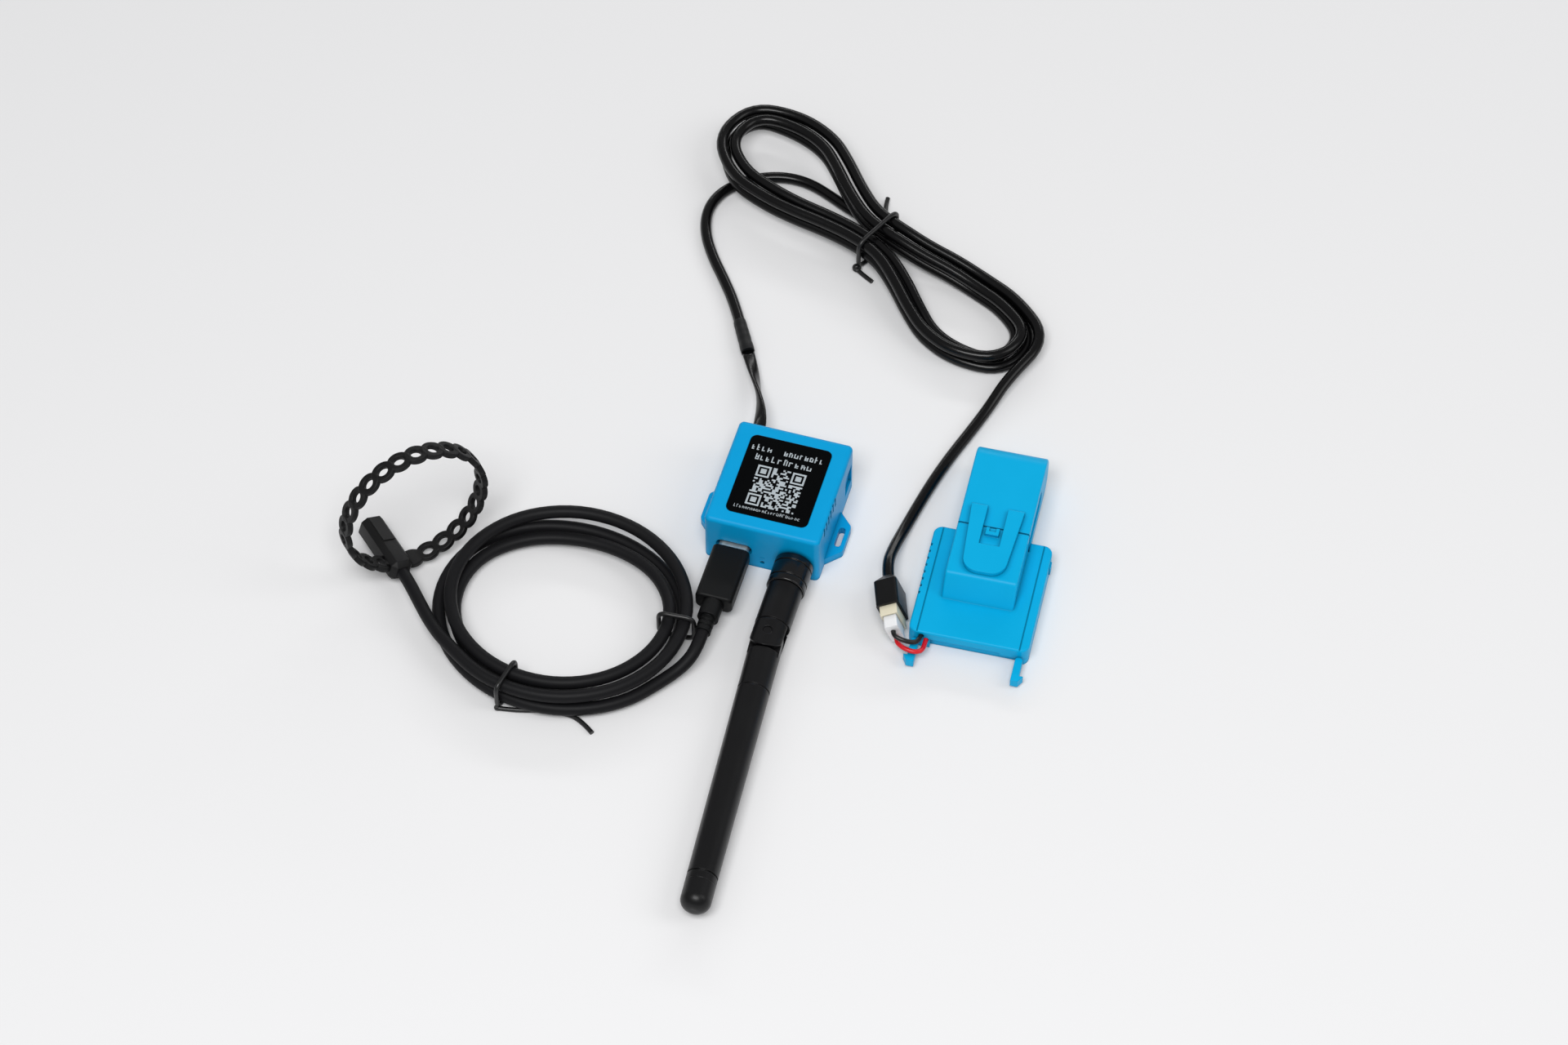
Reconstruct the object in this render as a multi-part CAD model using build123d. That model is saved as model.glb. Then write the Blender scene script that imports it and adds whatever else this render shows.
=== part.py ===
from build123d import *
import math
import os

# Smart energy monitor: a small hub with a folding antenna, a split-core current
# clamp on a long cable, and a temperature probe with a strap on a coiled lead.
# Millimetres, Z up, origin on the floor under the middle of the hub.

# Clearances
fit = 0.05
turning_fit = 0.08
overrun = 1.0

# Measuring a wound tube against itself
straight_limit = 1e-6
places_per_arc = 12
own_gap_travel = 4.0

# Hub housing
hub_width = 32.0
hub_depth = 34.5
hub_height = 17.0
hub_wall = 1.6
hub_roof = 1.6
hub_corner_radius = 1.5
hub_top_radius = 1.3
base_thickness = 1.5
boss_radius = 2.2
boss_side_inset = 3.6
boss_front_inset = 11.4
boss_back_inset = 7.8
hub_screw_diameter = 2.0
hub_screw_length = 6.0
screw_head_diameter = 3.6
screw_head_height = 0.8
screw_head_depth = 0.9
driver_slot_width = 0.6
driver_slot_depth = 0.4

# Mounting ears
ear_reach = 4.0
ear_root_length = 16.5
ear_tip_length = 8.5
ear_centre_y = -3.3
ear_thickness = 2.6
ear_corner_radius = 1.4
ear_slot_length = 6.5
ear_slot_width = 1.8
ear_slot_reach = 2.0

# Grip grooves and side pockets
grip_count = 6
grip_pitch = 2.1
grip_width = 0.9
grip_height = 3.2
grip_depth = 0.45
grip_first_y = -1.2
grip_top_drop = 0.7
pocket_length = 6.0
pocket_height = 7.0
pocket_depth = 0.8
pocket_centre_y = 12.0
pocket_centre_z = 7.5

# Label
label_width = 22.6
label_length = 26.4
label_thickness = 0.25
label_recess = 0.15
label_corner_radius = 1.8
label_gap = 0.1

# Board and what stands on it
board_bottom = 4.0
board_thickness = 1.0
board_gap = 0.3
board_front_gap = 2.2
post_diameter = 3.0
post_x = 8.5
post_front_y = -9.5
post_back_y = 12.0
radio_width = 12.0
radio_length = 10.0
radio_height = 2.2
radio_x = 1.0
radio_y = -3.0
radio_edge_radius = 0.4
capacitor_diameter = 8.0
capacitor_height = 9.0
capacitor_x = 3.0
capacitor_y = 9.0
capacitor_edge_radius = 0.5

# Power socket in the hub and plug of the lead
usb_x = -7.6
usb_z = 6.6
usb_opening_width = 10.0
usb_opening_height = 4.2
usb_opening_radius = 1.9
receptacle_width = 9.2
receptacle_length = 7.0
receptacle_radius = 1.2
plug_shell_width = 8.3
plug_shell_height = 2.5
plug_shell_wall = 0.3
plug_shell_length = 6.7
plug_shell_radius = 1.1
tongue_width = 6.6
tongue_thickness = 0.7
tongue_length = 4.6
overmould_width = 10.2
overmould_height = 6.2
overmould_length = 17.2
overmould_gap = 2.05
overmould_edge_radius = 1.7
overmould_end_radius = 0.8
relief_diameter = 5.8
relief_length = 5.0
relief_neck_diameter = 4.3
relief_neck_length = 4.6
relief_groove_count = 2
relief_groove_width = 0.5
relief_groove_depth = 0.2

# Reset button
reset_x = 0.3
reset_z = 2.6
reset_hole_diameter = 1.2
plunger_recess = 0.5
plunger_collar_diameter = 1.7
plunger_collar_length = 0.6
plunger_travel = 0.25
switch_width = 3.0
switch_length = 3.2
switch_height = 2.0
reset_mark_width = 1.2
reset_mark_height = 0.3
reset_mark_relief = 0.12
reset_mark_rise = 1.9

# Antenna
antenna_x = 9.4
antenna_z = 5.9
jack_thread_diameter = 6.35
jack_flange_width = 7.4
jack_flange_thickness = 1.9
jack_block_width = 6.0
jack_block_length = 3.6
jack_block_height = 3.8
jack_reach = 6.3
jack_bore_diameter = 1.1
nut_diameter = 10.6
nut_length = 9.0
nut_gap = 0.3
nut_lip = 1.7
nut_bore_fit = 0.1
nut_edge_radius = 0.4
nut_groove_setback = 2.2
ring_groove_width = 0.5
ring_groove_depth = 0.3
neck_diameter = 5.0
collar_diameter = 6.2
collar_length = 0.7
contact_diameter = 0.9
contact_length = 3.0
barrel_diameter = 9.6
barrel_gap = 0.1
barrel_groove_distance = 12.4
hinge_distance = 16.4
hinge_pin_diameter = 2.4
hinge_pin_inset = 0.25
cheek_gap = 4.0
tongue_fit = 0.1
tongue_radius = 4.2
slot_back_gap = 0.2
whip_root_distance = 5.1
whip_root_diameter = 8.8
whip_end_diameter = 8.0
whip_lean = 3.6
whip_ring_distance = 17.0
whip_cap_distance = 76.8
whip_cap_groove_setback = 2.2
end_cap_length = 7.8
whip_tip_radius = 3.2

# Cable out of the hub
cable_exit_x = -12.0
cable_exit_z = 8.0
pair_diameter = 2.6
grommet_neck_diameter = 4.1
grommet_flange_diameter = 5.8
grommet_flange_thickness = 0.9
connector_width = 4.4
connector_length = 2.7
connector_rise = 4.5
connector_wall_gap = 0.7
cable_diameter = 3.2
sleeve_diameter = 3.8
cable_bend_share = 0.45
pair_route = [(cable_exit_x, hub_depth / 2 - hub_wall - connector_wall_gap, cable_exit_z),
              (-12.0, 21.5, 8.0), (-13.4, 28.0, 7.0), (-16.4, 36.0, 4.8),
              (-20.5, 44.6, 3.0), (-24.0, 51.0, 2.6)]
sleeve_end = (-29.5, 61.2, 1.95)
near_route = [sleeve_end, (-33.1, 67.8, 1.6), (-38.4, 75.2, 1.6), (-43.8, 82.2, 1.6),
              (-48.4, 90.0, 1.6), (-50.4, 98.0, 1.6), (-49.0, 105.2, 1.6), (-44.6, 110.8, 1.6),
              (-38.4, 115.0, 1.6), (-31.4, 117.0, 1.6), (-24.4, 116.4, 1.6),
              (-17.4, 113.4, 1.6), (-10.4, 109.6, 2.0), (-3.6, 106.4, 2.9)]

# Hank: loops drawn in at the waist, about the tie, in two layers
hank_centre = (0.0, 97.0)
hank_heading = 154.8
hank_lane = 3.9
hank_level = 3.65
hank_floor = 1.6
hank_start_height = 3.0
hank_exit_height = 5.25
hank_exit_lane = 1.9
hank_stations = {
    "waist_b": ((0.0, 7.05), (0.0, 1.0)),
    "slope_br": ((-18.0, 8.95), (0.19, 0.98)),
    "right_b": ((-36.0, 10.9), (0.0, 1.0)),
    "right_end": ((-55.4, -2.5), (-1.0, 0.0)),
    "right_a": ((-36.0, -15.4), (0.0, -1.0)),
    "slope_ar": ((-18.0, -10.0), (0.447, -0.894)),
    "waist_a": ((0.0, -4.65), (0.0, -1.0)),
    "slope_al": ((19.0, -7.4), (-0.243, -0.97)),
    "left_a": ((38.0, -10.1), (0.0, -1.0)),
    "left_end": ((58.9, 6.0), (1.0, 0.0)),
    "left_b": ((38.0, 20.1), (0.0, 1.0)),
    "slope_bl": ((19.0, 13.5), (-0.482, 0.876)),
}
hank_lift_shares = {
    "waist_b": 1.0, "slope_br": 0.5, "right_b": 0.0, "right_end": 0.0, "right_a": 0.0,
    "slope_ar": 0.5, "waist_a": 1.0, "slope_al": 1.0, "left_a": 1.0, "left_end": 1.0,
    "left_b": 1.0, "slope_bl": 1.0,
}
# Each pass: station, lane (1 outside, 0 inside), level (0 low, 1 high)
hank_passes = [
    ("right_b", 1.0, 0.0), ("right_end", 1.0, 0.0), ("right_a", 1.0, 0.0),
    ("slope_ar", 1.0, 0.0), ("waist_a", 1.0, 0.0), ("slope_al", 1.0, 0.0),
    ("left_a", 1.0, 0.0), ("left_end", 0.5, 0.0), ("left_b", 0.0, 0.0), ("slope_bl", 0.0, 0.0),
    ("waist_b", 0.0, 0.0), ("slope_br", 0.0, 0.0), ("right_b", 0.0, 0.0),
    ("right_end", 0.0, 0.0), ("right_a", 0.0, 0.0), ("slope_ar", 0.0, 0.3),
    ("waist_a", 0.0, 0.5), ("slope_al", 0.0, 0.75), ("left_a", 0.0, 1.0),
    ("left_end", 0.0, 1.0), ("left_b", 0.0, 1.0), ("slope_bl", 0.0, 1.0),
    ("waist_b", 0.0, 1.0), ("slope_br", 0.0, 1.0), ("right_b", 0.0, 1.0),
    ("right_end", 0.5, 1.0), ("right_a", 1.0, 1.0), ("slope_ar", 1.0, 1.0),
    ("waist_a", 1.0, 1.0), ("slope_al", 1.0, 1.0), ("left_a", 1.0, 1.0),
    ("left_end", 1.0, 1.0), ("left_b", 1.0, 1.0), ("slope_bl", 1.0, 1.0),
    ("waist_b", 1.0, 1.0), ("slope_br", 1.0, 1.0), ("right_b", 1.0, 1.0),
]
tie_diameter = 1.3
tie_corner_radius = 2.4
tie_slack = 0.2
coil_knot_diameter = 1.8
hank_knot_diameter = 2.7
hank_near_tail = [(-0.6, 88.2, 0.65), (2.1, 86.8, 0.65)]
hank_far_tail = [(2.0, 108.6, 2.2), (-1.6, 112.6, 0.75), (-1.8, 117.9, 1.0)]

# Far run of the cable, to the socket
far_route = [(48.2, 60.9, 4.0), (45.4, 51.2, 1.8), (42.4, 41.2, 1.6), (39.4, 31.6, 1.6),
             (37.0, 22.0, 1.6), (35.2, 12.6, 1.6), (33.8, 3.8, 1.9), (33.0, -4.0, 3.8)]
far_lead_in = 4.8

# Socket on the cable, its header and the clamp's plug
socket_x = 37.3
socket_y = -21.7
socket_heading = -69.6
socket_roll = 19.0
socket_length = 8.0
socket_width = 6.3
socket_height = 9.8
socket_edge_radius = 0.9
socket_taper_length = 3.0
socket_neck_diameter = 4.4
header_width = 4.7
header_height = 8.2
header_length = 7.9
header_reach = 3.0
header_wall = 0.5
header_floor = 1.2
header_pin_width = 0.5
header_pin_pitch = 2.0
jst_reach = 6.6
jst_insert = 2.6
jst_edge_radius = 0.35
jst_ridge_width = 2.0
jst_ridge_height = 0.7
jst_ridge_length = 2.4
jst_wire_pitch = 2.4
wire_diameter = 1.3

# Lead of the probe
lead_diameter = 3.5
coil_centre_x = -45.8
coil_centre_y = -46.5
coil_inner_a = 29.0
coil_inner_b = 26.0
coil_lane = 4.3
coil_climb_lane = -0.15
coil_level = 4.0
coil_start_angle = -35.0
coil_low_quarters = 6
coil_climb_quarters = 2
coil_high_quarters = 5
coil_sag = 0.9
coil_probe_step = 0.01
coil_tie_angle_1 = 3.0
coil_tie_angle_2 = -102.0
coil_tie_lanes_1 = (-0.12, 0.9)
coil_tie_lanes_2 = (0.18, 1.32)
plug_lead_route = [(-7.6, -50.4, 6.5), (-8.9, -54.9, 5.0)]
tail_route = [(-48.5, -79.6, 0.65), (-42.5, -77.8, 0.65), (-36.0, -76.9, 0.65),
              (-31.5, -77.6, 0.65), (-27.3, -80.7, 0.65)]
probe_lead_route = [(-71.9, -68.1, 7.0), (-77.7, -62.9, 5.9), (-82.8, -57.2, 5.3)]

# Strap hoop and probe
hoop_centre = (-89.0, -40.1, 23.4)
hoop_radius = 20.1
hoop_heading = 47.0
hoop_tilt = 3.1
link_count = 26
link_length = 6.6
link_width = 5.5
strap_thickness = 1.6
link_hole_length = 3.0
link_hole_width = 2.8
link_hole_radius = 1.3
block_angle = -112.0
block_length = 20.5
block_lead_reach = 4.0
block_radial = 6.4
block_tangential = 6.6
block_edge_radius = 0.9
block_slot_gap = 0.1
sensor_length = 9.0
sensor_width = 3.6
sensor_thickness = 0.5
sensor_end_gap = 1.8

# Current clamp, in its own frame
clamp_x = 59.4
clamp_y = -11.6
clamp_heading = 2.9
clamp_half_width = 16.2
clamp_front_edge = -17.5
clamp_back_edge = 14.8
clamp_shoulder_edge = 17.7
clamp_base_height = 6.5
clamp_height = 13.5
clamp_wall = 1.3
clamp_corner_radius = 2.4
clamp_edge_radius = 0.6
clamp_split_height = 2.4
tower_half_width = 9.75
tower_slope_top = -1.6
tower_slope_foot = -5.5
tower_brow_radius = 1.6
jaw_end = 43.5
jaw_gap = 0.1
jaw_end_radius = 5.0
split_groove_width = 0.45
split_groove_depth = 0.6
window_start = 15.5
window_end = 33.5
window_low = 4.5
window_high = 10.5
core_thickness = 1.4
core_half_width = 6.0
core_low_leg = 1.6
core_high_leg = 11.3
core_end_bar = 2.6
core_end_setback = 6.0
pad_thickness = 1.2
lower_core_bar = 6.8
bobbin_flange = 0.8
bobbin_flange_reach = 1.0
bobbin_wall = 0.7
winding_layer = 0.9
winding_end_gap = 0.1
jaw_pin_diameter = 1.4
jaw_knuckle_radius = 1.6
knuckle_half_width = 3.0
knuckle_side_gap = 0.1
knuckle_gap = 0.12
latch_arm_centre = 5.0
latch_arm_width = 2.2
latch_top = 21.4
latch_bottom = -0.7
latch_thickness = 1.4
latch_tab_half_width = 5.6
latch_root_half_width = 7.2
latch_window_low = 8.4
latch_corner_radius = 4.2
catch_width = 3.6
catch_length = 2.3
catch_notch = 1.2
catch_height = 0.95
catch_setback = 0.4
snap_arm_u = 14.0
snap_arm_width = 2.0
snap_arm_length = 6.6
snap_arm_low = 1.0
snap_arm_high = 3.6
snap_barb_reach = 1.1
snap_barb_length = 1.8
lip_left = -10.2
lip_right = 13.0
lip_recess = 1.3
lip_height = 2.8
lip_tab_left = 8.6
lip_tab_drop = 0.9
notch_count = 8
notch_pitch = 2.3
notch_width = 0.8
notch_depth = 0.6
notch_first_v = -5.0
notch_height = 3.0
panel_line_inset = 2.4
panel_line_width = 0.35
panel_line_depth = 0.3
side_tab_length = 2.2
side_tab_reach = 0.4
side_tab_v = 12.4
side_tab_height = 3.0
wire_board_width = 6.0
wire_board_length = 6.0
wire_board_thickness = 1.0
wire_board_front_gap = 2.2
wire_board_u = -10.6
black_entry = (-12.5, 4.75)
red_entry = (-11.2, 3.35)
wire_hole_fit = 0.1
wire_out_length = 1.95
clamp_screw_diameter = 2.0
clamp_screw_length = 4.6
clamp_screw_u = 12.6
clamp_screw_v = 5.0
clamp_boss_diameter = 4.4
black_route = [(42.8, -33.6, 6.7), (45.5, -33.5, 6.0)]
red_route = [(42.7, -34.0, 4.6), (45.0, -35.0, 4.6), (47.4, -35.1, 4.5), (49.0, -33.9, 4.0)]

os.makedirs("parts", exist_ok=True)


def save(shape, name):
    shape.label = name
    export_step(shape, "parts/" + name + ".step")


def block(x_ends, y_ends, z_ends):
    sizes = [ends[1] - ends[0] for ends in (x_ends, y_ends, z_ends)]
    middle = [(ends[0] + ends[1]) / 2 for ends in (x_ends, y_ends, z_ends)]
    return Pos(*middle) * Box(*sizes)


def rounded(solid, axis, radius):
    return fillet(solid.edges().filter_by(axis), radius)


def rod_x(y, z, x_ends, diameter):
    middle = (x_ends[0] + x_ends[1]) / 2
    return Pos(middle, y, z) * Rot(0, 90, 0) * Cylinder(diameter / 2, x_ends[1] - x_ends[0])


def rod_y(x, z, y_ends, diameter):
    middle = (y_ends[0] + y_ends[1]) / 2
    return Pos(x, middle, z) * Rot(90, 0, 0) * Cylinder(diameter / 2, y_ends[1] - y_ends[0])


def rod_z(x, y, z_ends, diameter):
    middle = (z_ends[0] + z_ends[1]) / 2
    return Pos(x, y, middle) * Cylinder(diameter / 2, z_ends[1] - z_ends[0])


def rod_between(start, end, diameter):
    run = Vector(*end) - Vector(*start)
    plane = Plane(origin=start, z_dir=run)
    return extrude(plane * Circle(diameter / 2), run.length)


def groove_y(x, z, y, diameter):
    width = (y - ring_groove_width / 2, y + ring_groove_width / 2)
    outside = rod_y(x, z, width, diameter + overrun)
    return outside - rod_y(x, z, width, diameter - 2 * ring_groove_depth)


# Tube of a free cord: straight runs joined by arcs as large as the runs allow
def cord_tube(points, diameter, name):
    places = [Vector(*point) for point in points]
    radii = []
    for before, here, after in zip(places, places[1:], places[2:]):
        turn = math.radians((here - before).get_angle(after - here))
        shorter = min((here - before).length, (after - here).length)
        radii.append(cable_bend_share * shorter / math.tan(turn / 2))
    path = FilletPolyline(*places, radius=radii)
    section = Plane(origin=places[0], z_dir=places[1] - places[0]) * Circle(diameter / 2)
    tube = sweep(section, path=path)
    expected = math.pi * diameter ** 2 / 4 * path.length
    print(name, "length", round(path.length, 1), "radii", [round(radius, 1) for radius in radii],
          "volume over section times length", round(tube.volume / expected, 4))
    return tube


# Two arcs between one place and heading and the next
def biarc(start, start_way, end, end_way):
    chord = end - start
    ways = start_way + end_way
    spread = 2 * (1 - start_way.dot(end_way))
    along = chord.dot(ways)
    if spread > straight_limit:
        reach = (-along + math.sqrt(along ** 2 + spread * chord.dot(chord))) / spread
    else:
        reach = chord.dot(chord) / (4 * chord.dot(end_way))
    first = start + start_way * reach
    last = end - end_way * reach
    middle = (first + last) * 0.5
    middle_way = (last - first).normalized()
    return [TangentArc(start, middle, tangent=start_way),
            TangentArc(middle, end, tangent=middle_way)]


# One unbroken wound tube; prints its least gap to itself and its tightest radius
def wound_tube(stations, diameter, name):
    edges = []
    for (here, way), (there, next_way) in zip(stations, stations[1:]):
        edges += biarc(here, way, there, next_way)
    path = Wire([edge.edges()[0] for edge in edges])
    section = Plane(origin=stations[0][0], z_dir=stations[0][1]) * Circle(diameter / 2)
    tube = sweep(section, path=path)
    samples = [edge @ (step / places_per_arc) for edge in edges for step in range(places_per_arc)]
    travelled = [0.0]
    for one, other in zip(samples, samples[1:]):
        travelled.append(travelled[-1] + (other - one).length)
    least, here, there = min(((samples[i] - samples[j]).length, i, j)
                             for i in range(0, len(samples), 2)
                             for j in range(i + 1, len(samples))
                             if travelled[j] - travelled[i] > own_gap_travel * diameter)
    tightest = min(edge.radius for edge in edges if edge.geom_type == GeomType.CIRCLE)
    expected = math.pi * diameter ** 2 / 4 * path.length
    print(name, "length", round(path.length, 1), "least gap", round(least - diameter, 2),
          "at", samples[here], "and", samples[there],
          "tightest radius", round(tightest, 1),
          "volume over section times length", round(tube.volume / expected, 4))
    return tube


# Hub housing
half_width = hub_width / 2
half_depth = hub_depth / 2
inner_half_width = half_width - hub_wall
inner_half_depth = half_depth - hub_wall
roof_inside = hub_height - hub_roof
front = -half_depth
boss_x = half_width - boss_side_inset
boss_places = [(side * boss_x, y) for side in (-1, 1)
               for y in (front + boss_front_inset, half_depth - boss_back_inset)]

cover = block((-half_width, half_width), (front, half_depth), (0, hub_height))
cover = rounded(cover, Axis.Z, hub_corner_radius)
cover = fillet(cover.faces().sort_by(Axis.Z)[-1].edges(), hub_top_radius)
cover -= block((-inner_half_width, inner_half_width), (-inner_half_depth, inner_half_depth),
               (-overrun, roof_inside))
for x, y in boss_places:
    cover += rod_z(x, y, (base_thickness + fit, roof_inside + hub_roof / 2), 2 * boss_radius)
for side in (-1, 1):
    ear_outline = Polyline(
        (side * (half_width - hub_wall / 2), ear_centre_y + ear_root_length / 2),
        (side * half_width, ear_centre_y + ear_root_length / 2),
        (side * (half_width + ear_reach), ear_centre_y + ear_tip_length / 2),
        (side * (half_width + ear_reach), ear_centre_y - ear_tip_length / 2),
        (side * half_width, ear_centre_y - ear_root_length / 2),
        (side * (half_width - hub_wall / 2), ear_centre_y - ear_root_length / 2), close=True)
    ear = extrude(make_face(ear_outline), ear_thickness)
    tip_edges = ear.edges().filter_by(Axis.Z).sort_by(Axis.X)
    ear = fillet(tip_edges[-2:] if side > 0 else tip_edges[:2], ear_corner_radius)
    slot = Pos(side * (half_width + ear_slot_reach), ear_centre_y, -overrun) * extrude(
        SlotOverall(ear_slot_length, ear_slot_width, rotation=90), ear_thickness + 2 * overrun)
    cover += ear - slot
    grip_top = hub_height - grip_top_drop
    grip_x = sorted((side * (half_width - grip_depth), side * (half_width + overrun)))
    for index in range(grip_count):
        grip_y = grip_first_y - index * grip_pitch
        cover -= block(grip_x, (grip_y - grip_width / 2, grip_y + grip_width / 2),
                       (grip_top - grip_height, grip_top))
    pocket_x = sorted((side * (half_width - pocket_depth), side * (half_width + overrun)))
    cover -= block(pocket_x, (pocket_centre_y - pocket_length / 2, pocket_centre_y + pocket_length / 2),
                   (pocket_centre_z - pocket_height / 2, pocket_centre_z + pocket_height / 2))
for x, y in boss_places:
    cover -= rod_z(x, y, (0, screw_head_depth + hub_screw_length + fit), hub_screw_diameter + 2 * fit)
usb_opening = block((usb_x - usb_opening_width / 2, usb_x + usb_opening_width / 2),
                    (front - overrun, -inner_half_depth + overrun / 2),
                    (usb_z - usb_opening_height / 2, usb_z + usb_opening_height / 2))
cover -= rounded(usb_opening, Axis.Y, usb_opening_radius)
cover -= rod_y(reset_x, reset_z, (front - overrun, -inner_half_depth + overrun), reset_hole_diameter)
cover -= rod_y(antenna_x, antenna_z, (front - overrun, -inner_half_depth + overrun),
               jack_thread_diameter + 2 * fit)
cover -= rod_y(cable_exit_x, cable_exit_z, (inner_half_depth - overrun, half_depth + overrun),
               grommet_neck_diameter + 2 * fit)
cover += block((reset_x - reset_mark_width / 2, reset_x + reset_mark_width / 2),
               (front - reset_mark_relief, front + hub_wall / 2),
               (reset_z + reset_mark_rise, reset_z + reset_mark_rise + reset_mark_height))
label_floor = hub_height - label_recess
recess_width = label_width + 2 * label_gap
recess_length = label_length + 2 * label_gap
cover -= Pos(0, 0, label_floor) * extrude(
    RectangleRounded(recess_width, recess_length, label_corner_radius + label_gap), label_recess + overrun)
save(cover, "housing_cover")

label = Pos(0, 0, label_floor) * extrude(
    RectangleRounded(label_width, label_length, label_corner_radius), label_thickness)
save(label, "housing_label")

plate = block((-inner_half_width + fit, inner_half_width - fit),
              (-inner_half_depth + fit, inner_half_depth - fit), (0, base_thickness))
for x in (-post_x, post_x):
    for y in (post_front_y, post_back_y):
        plate += rod_z(x, y, (base_thickness / 2, board_bottom), post_diameter)
for x, y in boss_places:
    plate -= rod_z(x, y, (-overrun, screw_head_depth), screw_head_diameter + 2 * fit)
    plate -= rod_z(x, y, (0, base_thickness + overrun), hub_screw_diameter + 2 * fit)
save(plate, "housing_base_plate")


def screw(x, y, seat, head_diameter, diameter, length):
    body = rod_z(x, y, (seat - screw_head_height, seat), head_diameter)
    body += rod_z(x, y, (seat - screw_head_height / 2, seat + length), diameter)
    slot_bottom = seat - screw_head_height
    body -= block((x - driver_slot_width / 2, x + driver_slot_width / 2),
                  (y - head_diameter, y + head_diameter),
                  (slot_bottom - overrun, slot_bottom + driver_slot_depth))
    return body


for number, (x, y) in enumerate(boss_places):
    save(screw(x, y, screw_head_depth, screw_head_diameter, hub_screw_diameter, hub_screw_length),
         "base_screw_" + str(number + 1))

# Board and parts on it
board_top = board_bottom + board_thickness
board_front = -inner_half_depth + board_front_gap
board = block((-inner_half_width + board_gap, inner_half_width - board_gap),
              (board_front, inner_half_depth - board_gap), (board_bottom, board_top))
for x, y in boss_places:
    side = 1 if x > 0 else -1
    notch_x = sorted((side * (boss_x - boss_radius - board_gap), side * (half_width + overrun)))
    board -= block(notch_x, (y - boss_radius - board_gap, y + boss_radius + board_gap),
                   (board_bottom - overrun, board_top + overrun))
save(board, "main_board")

radio = block((radio_x - radio_width / 2, radio_x + radio_width / 2),
              (radio_y - radio_length / 2, radio_y + radio_length / 2),
              (board_top, board_top + radio_height))
save(rounded(radio, Axis.Z, radio_edge_radius), "radio_module")

capacitor = rod_z(capacitor_x, capacitor_y, (board_top, board_top + capacitor_height), capacitor_diameter)
save(fillet(capacitor.edges().sort_by(Axis.Z)[-1], capacitor_edge_radius), "storage_capacitor")

receptacle_front = -inner_half_depth + fit
receptacle_back = receptacle_front + receptacle_length
receptacle_half_height = usb_z - board_top
receptacle = block((usb_x - receptacle_width / 2, usb_x + receptacle_width / 2),
                   (receptacle_front, receptacle_back),
                   (usb_z - receptacle_half_height, usb_z + receptacle_half_height))
receptacle = rounded(receptacle, Axis.Y, receptacle_radius)
plug_shell_start = front - overmould_gap
plug_shell_end = plug_shell_start + plug_shell_length
receptacle_floor = plug_shell_end + turning_fit
plug_space = block((usb_x - plug_shell_width / 2 - turning_fit, usb_x + plug_shell_width / 2 + turning_fit),
                   (receptacle_front - overrun, receptacle_floor),
                   (usb_z - plug_shell_height / 2 - turning_fit, usb_z + plug_shell_height / 2 + turning_fit))
receptacle -= rounded(plug_space, Axis.Y, plug_shell_radius + turning_fit)
receptacle += block((usb_x - tongue_width / 2, usb_x + tongue_width / 2),
                    (receptacle_floor - tongue_length, receptacle_floor + fit),
                    (usb_z - tongue_thickness / 2, usb_z + tongue_thickness / 2))
save(receptacle, "usb_receptacle")

connector_back = inner_half_depth - connector_wall_gap
connector = block((cable_exit_x - connector_width / 2, cable_exit_x + connector_width / 2),
                  (connector_back - connector_length, connector_back),
                  (board_top, board_top + connector_rise))
save(connector, "cable_connector")

switch_front = board_front + board_gap
switch = block((reset_x - switch_width / 2, reset_x + switch_width / 2),
               (switch_front, switch_front + switch_length),
               (board_bottom - switch_height, board_bottom))
save(switch, "reset_switch")

plunger_front = front + plunger_recess
plunger_diameter = reset_hole_diameter - 2 * fit
collar_front = -inner_half_depth + fit
plunger = rod_y(reset_x, reset_z, (plunger_front, switch_front - plunger_travel - fit), plunger_diameter)
plunger += rod_y(reset_x, reset_z, (collar_front, collar_front + plunger_collar_length),
                 plunger_collar_diameter)
save(plunger, "reset_plunger")

# Antenna jack and coupling nut
jack_front = front - jack_reach
jack = rod_y(antenna_x, antenna_z, (jack_front, -inner_half_depth + jack_flange_thickness),
             jack_thread_diameter)
jack += block((antenna_x - jack_flange_width / 2, antenna_x + jack_flange_width / 2),
              (-inner_half_depth + fit, -inner_half_depth + jack_flange_thickness),
              (antenna_z - jack_flange_width / 2, antenna_z + jack_flange_width / 2))
jack += block((antenna_x - jack_block_width / 2, antenna_x + jack_block_width / 2),
              (-inner_half_depth + jack_flange_thickness / 2,
               -inner_half_depth + jack_flange_thickness + jack_block_length),
              (board_top, board_top + jack_block_height))
jack -= rod_y(antenna_x, antenna_z, (jack_front - overrun, jack_front + contact_length + overrun),
              jack_bore_diameter)
save(jack, "antenna_jack")

nut_back = front - nut_gap
nut_front = nut_back - nut_length
nut = rod_y(antenna_x, antenna_z, (nut_front, nut_back), nut_diameter)
nut = fillet(nut.edges().filter_by(GeomType.CIRCLE), nut_edge_radius)
nut -= rod_y(antenna_x, antenna_z, (nut_front + nut_lip, nut_back + overrun),
             jack_thread_diameter + 2 * nut_bore_fit)
nut -= rod_y(antenna_x, antenna_z, (nut_front - overrun, nut_back), neck_diameter + 2 * turning_fit)
nut -= groove_y(antenna_x, antenna_z, nut_back - nut_groove_setback, nut_diameter)
nut -= groove_y(antenna_x, antenna_z, nut_front + nut_groove_setback, nut_diameter)
save(nut, "coupling_nut")

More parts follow.
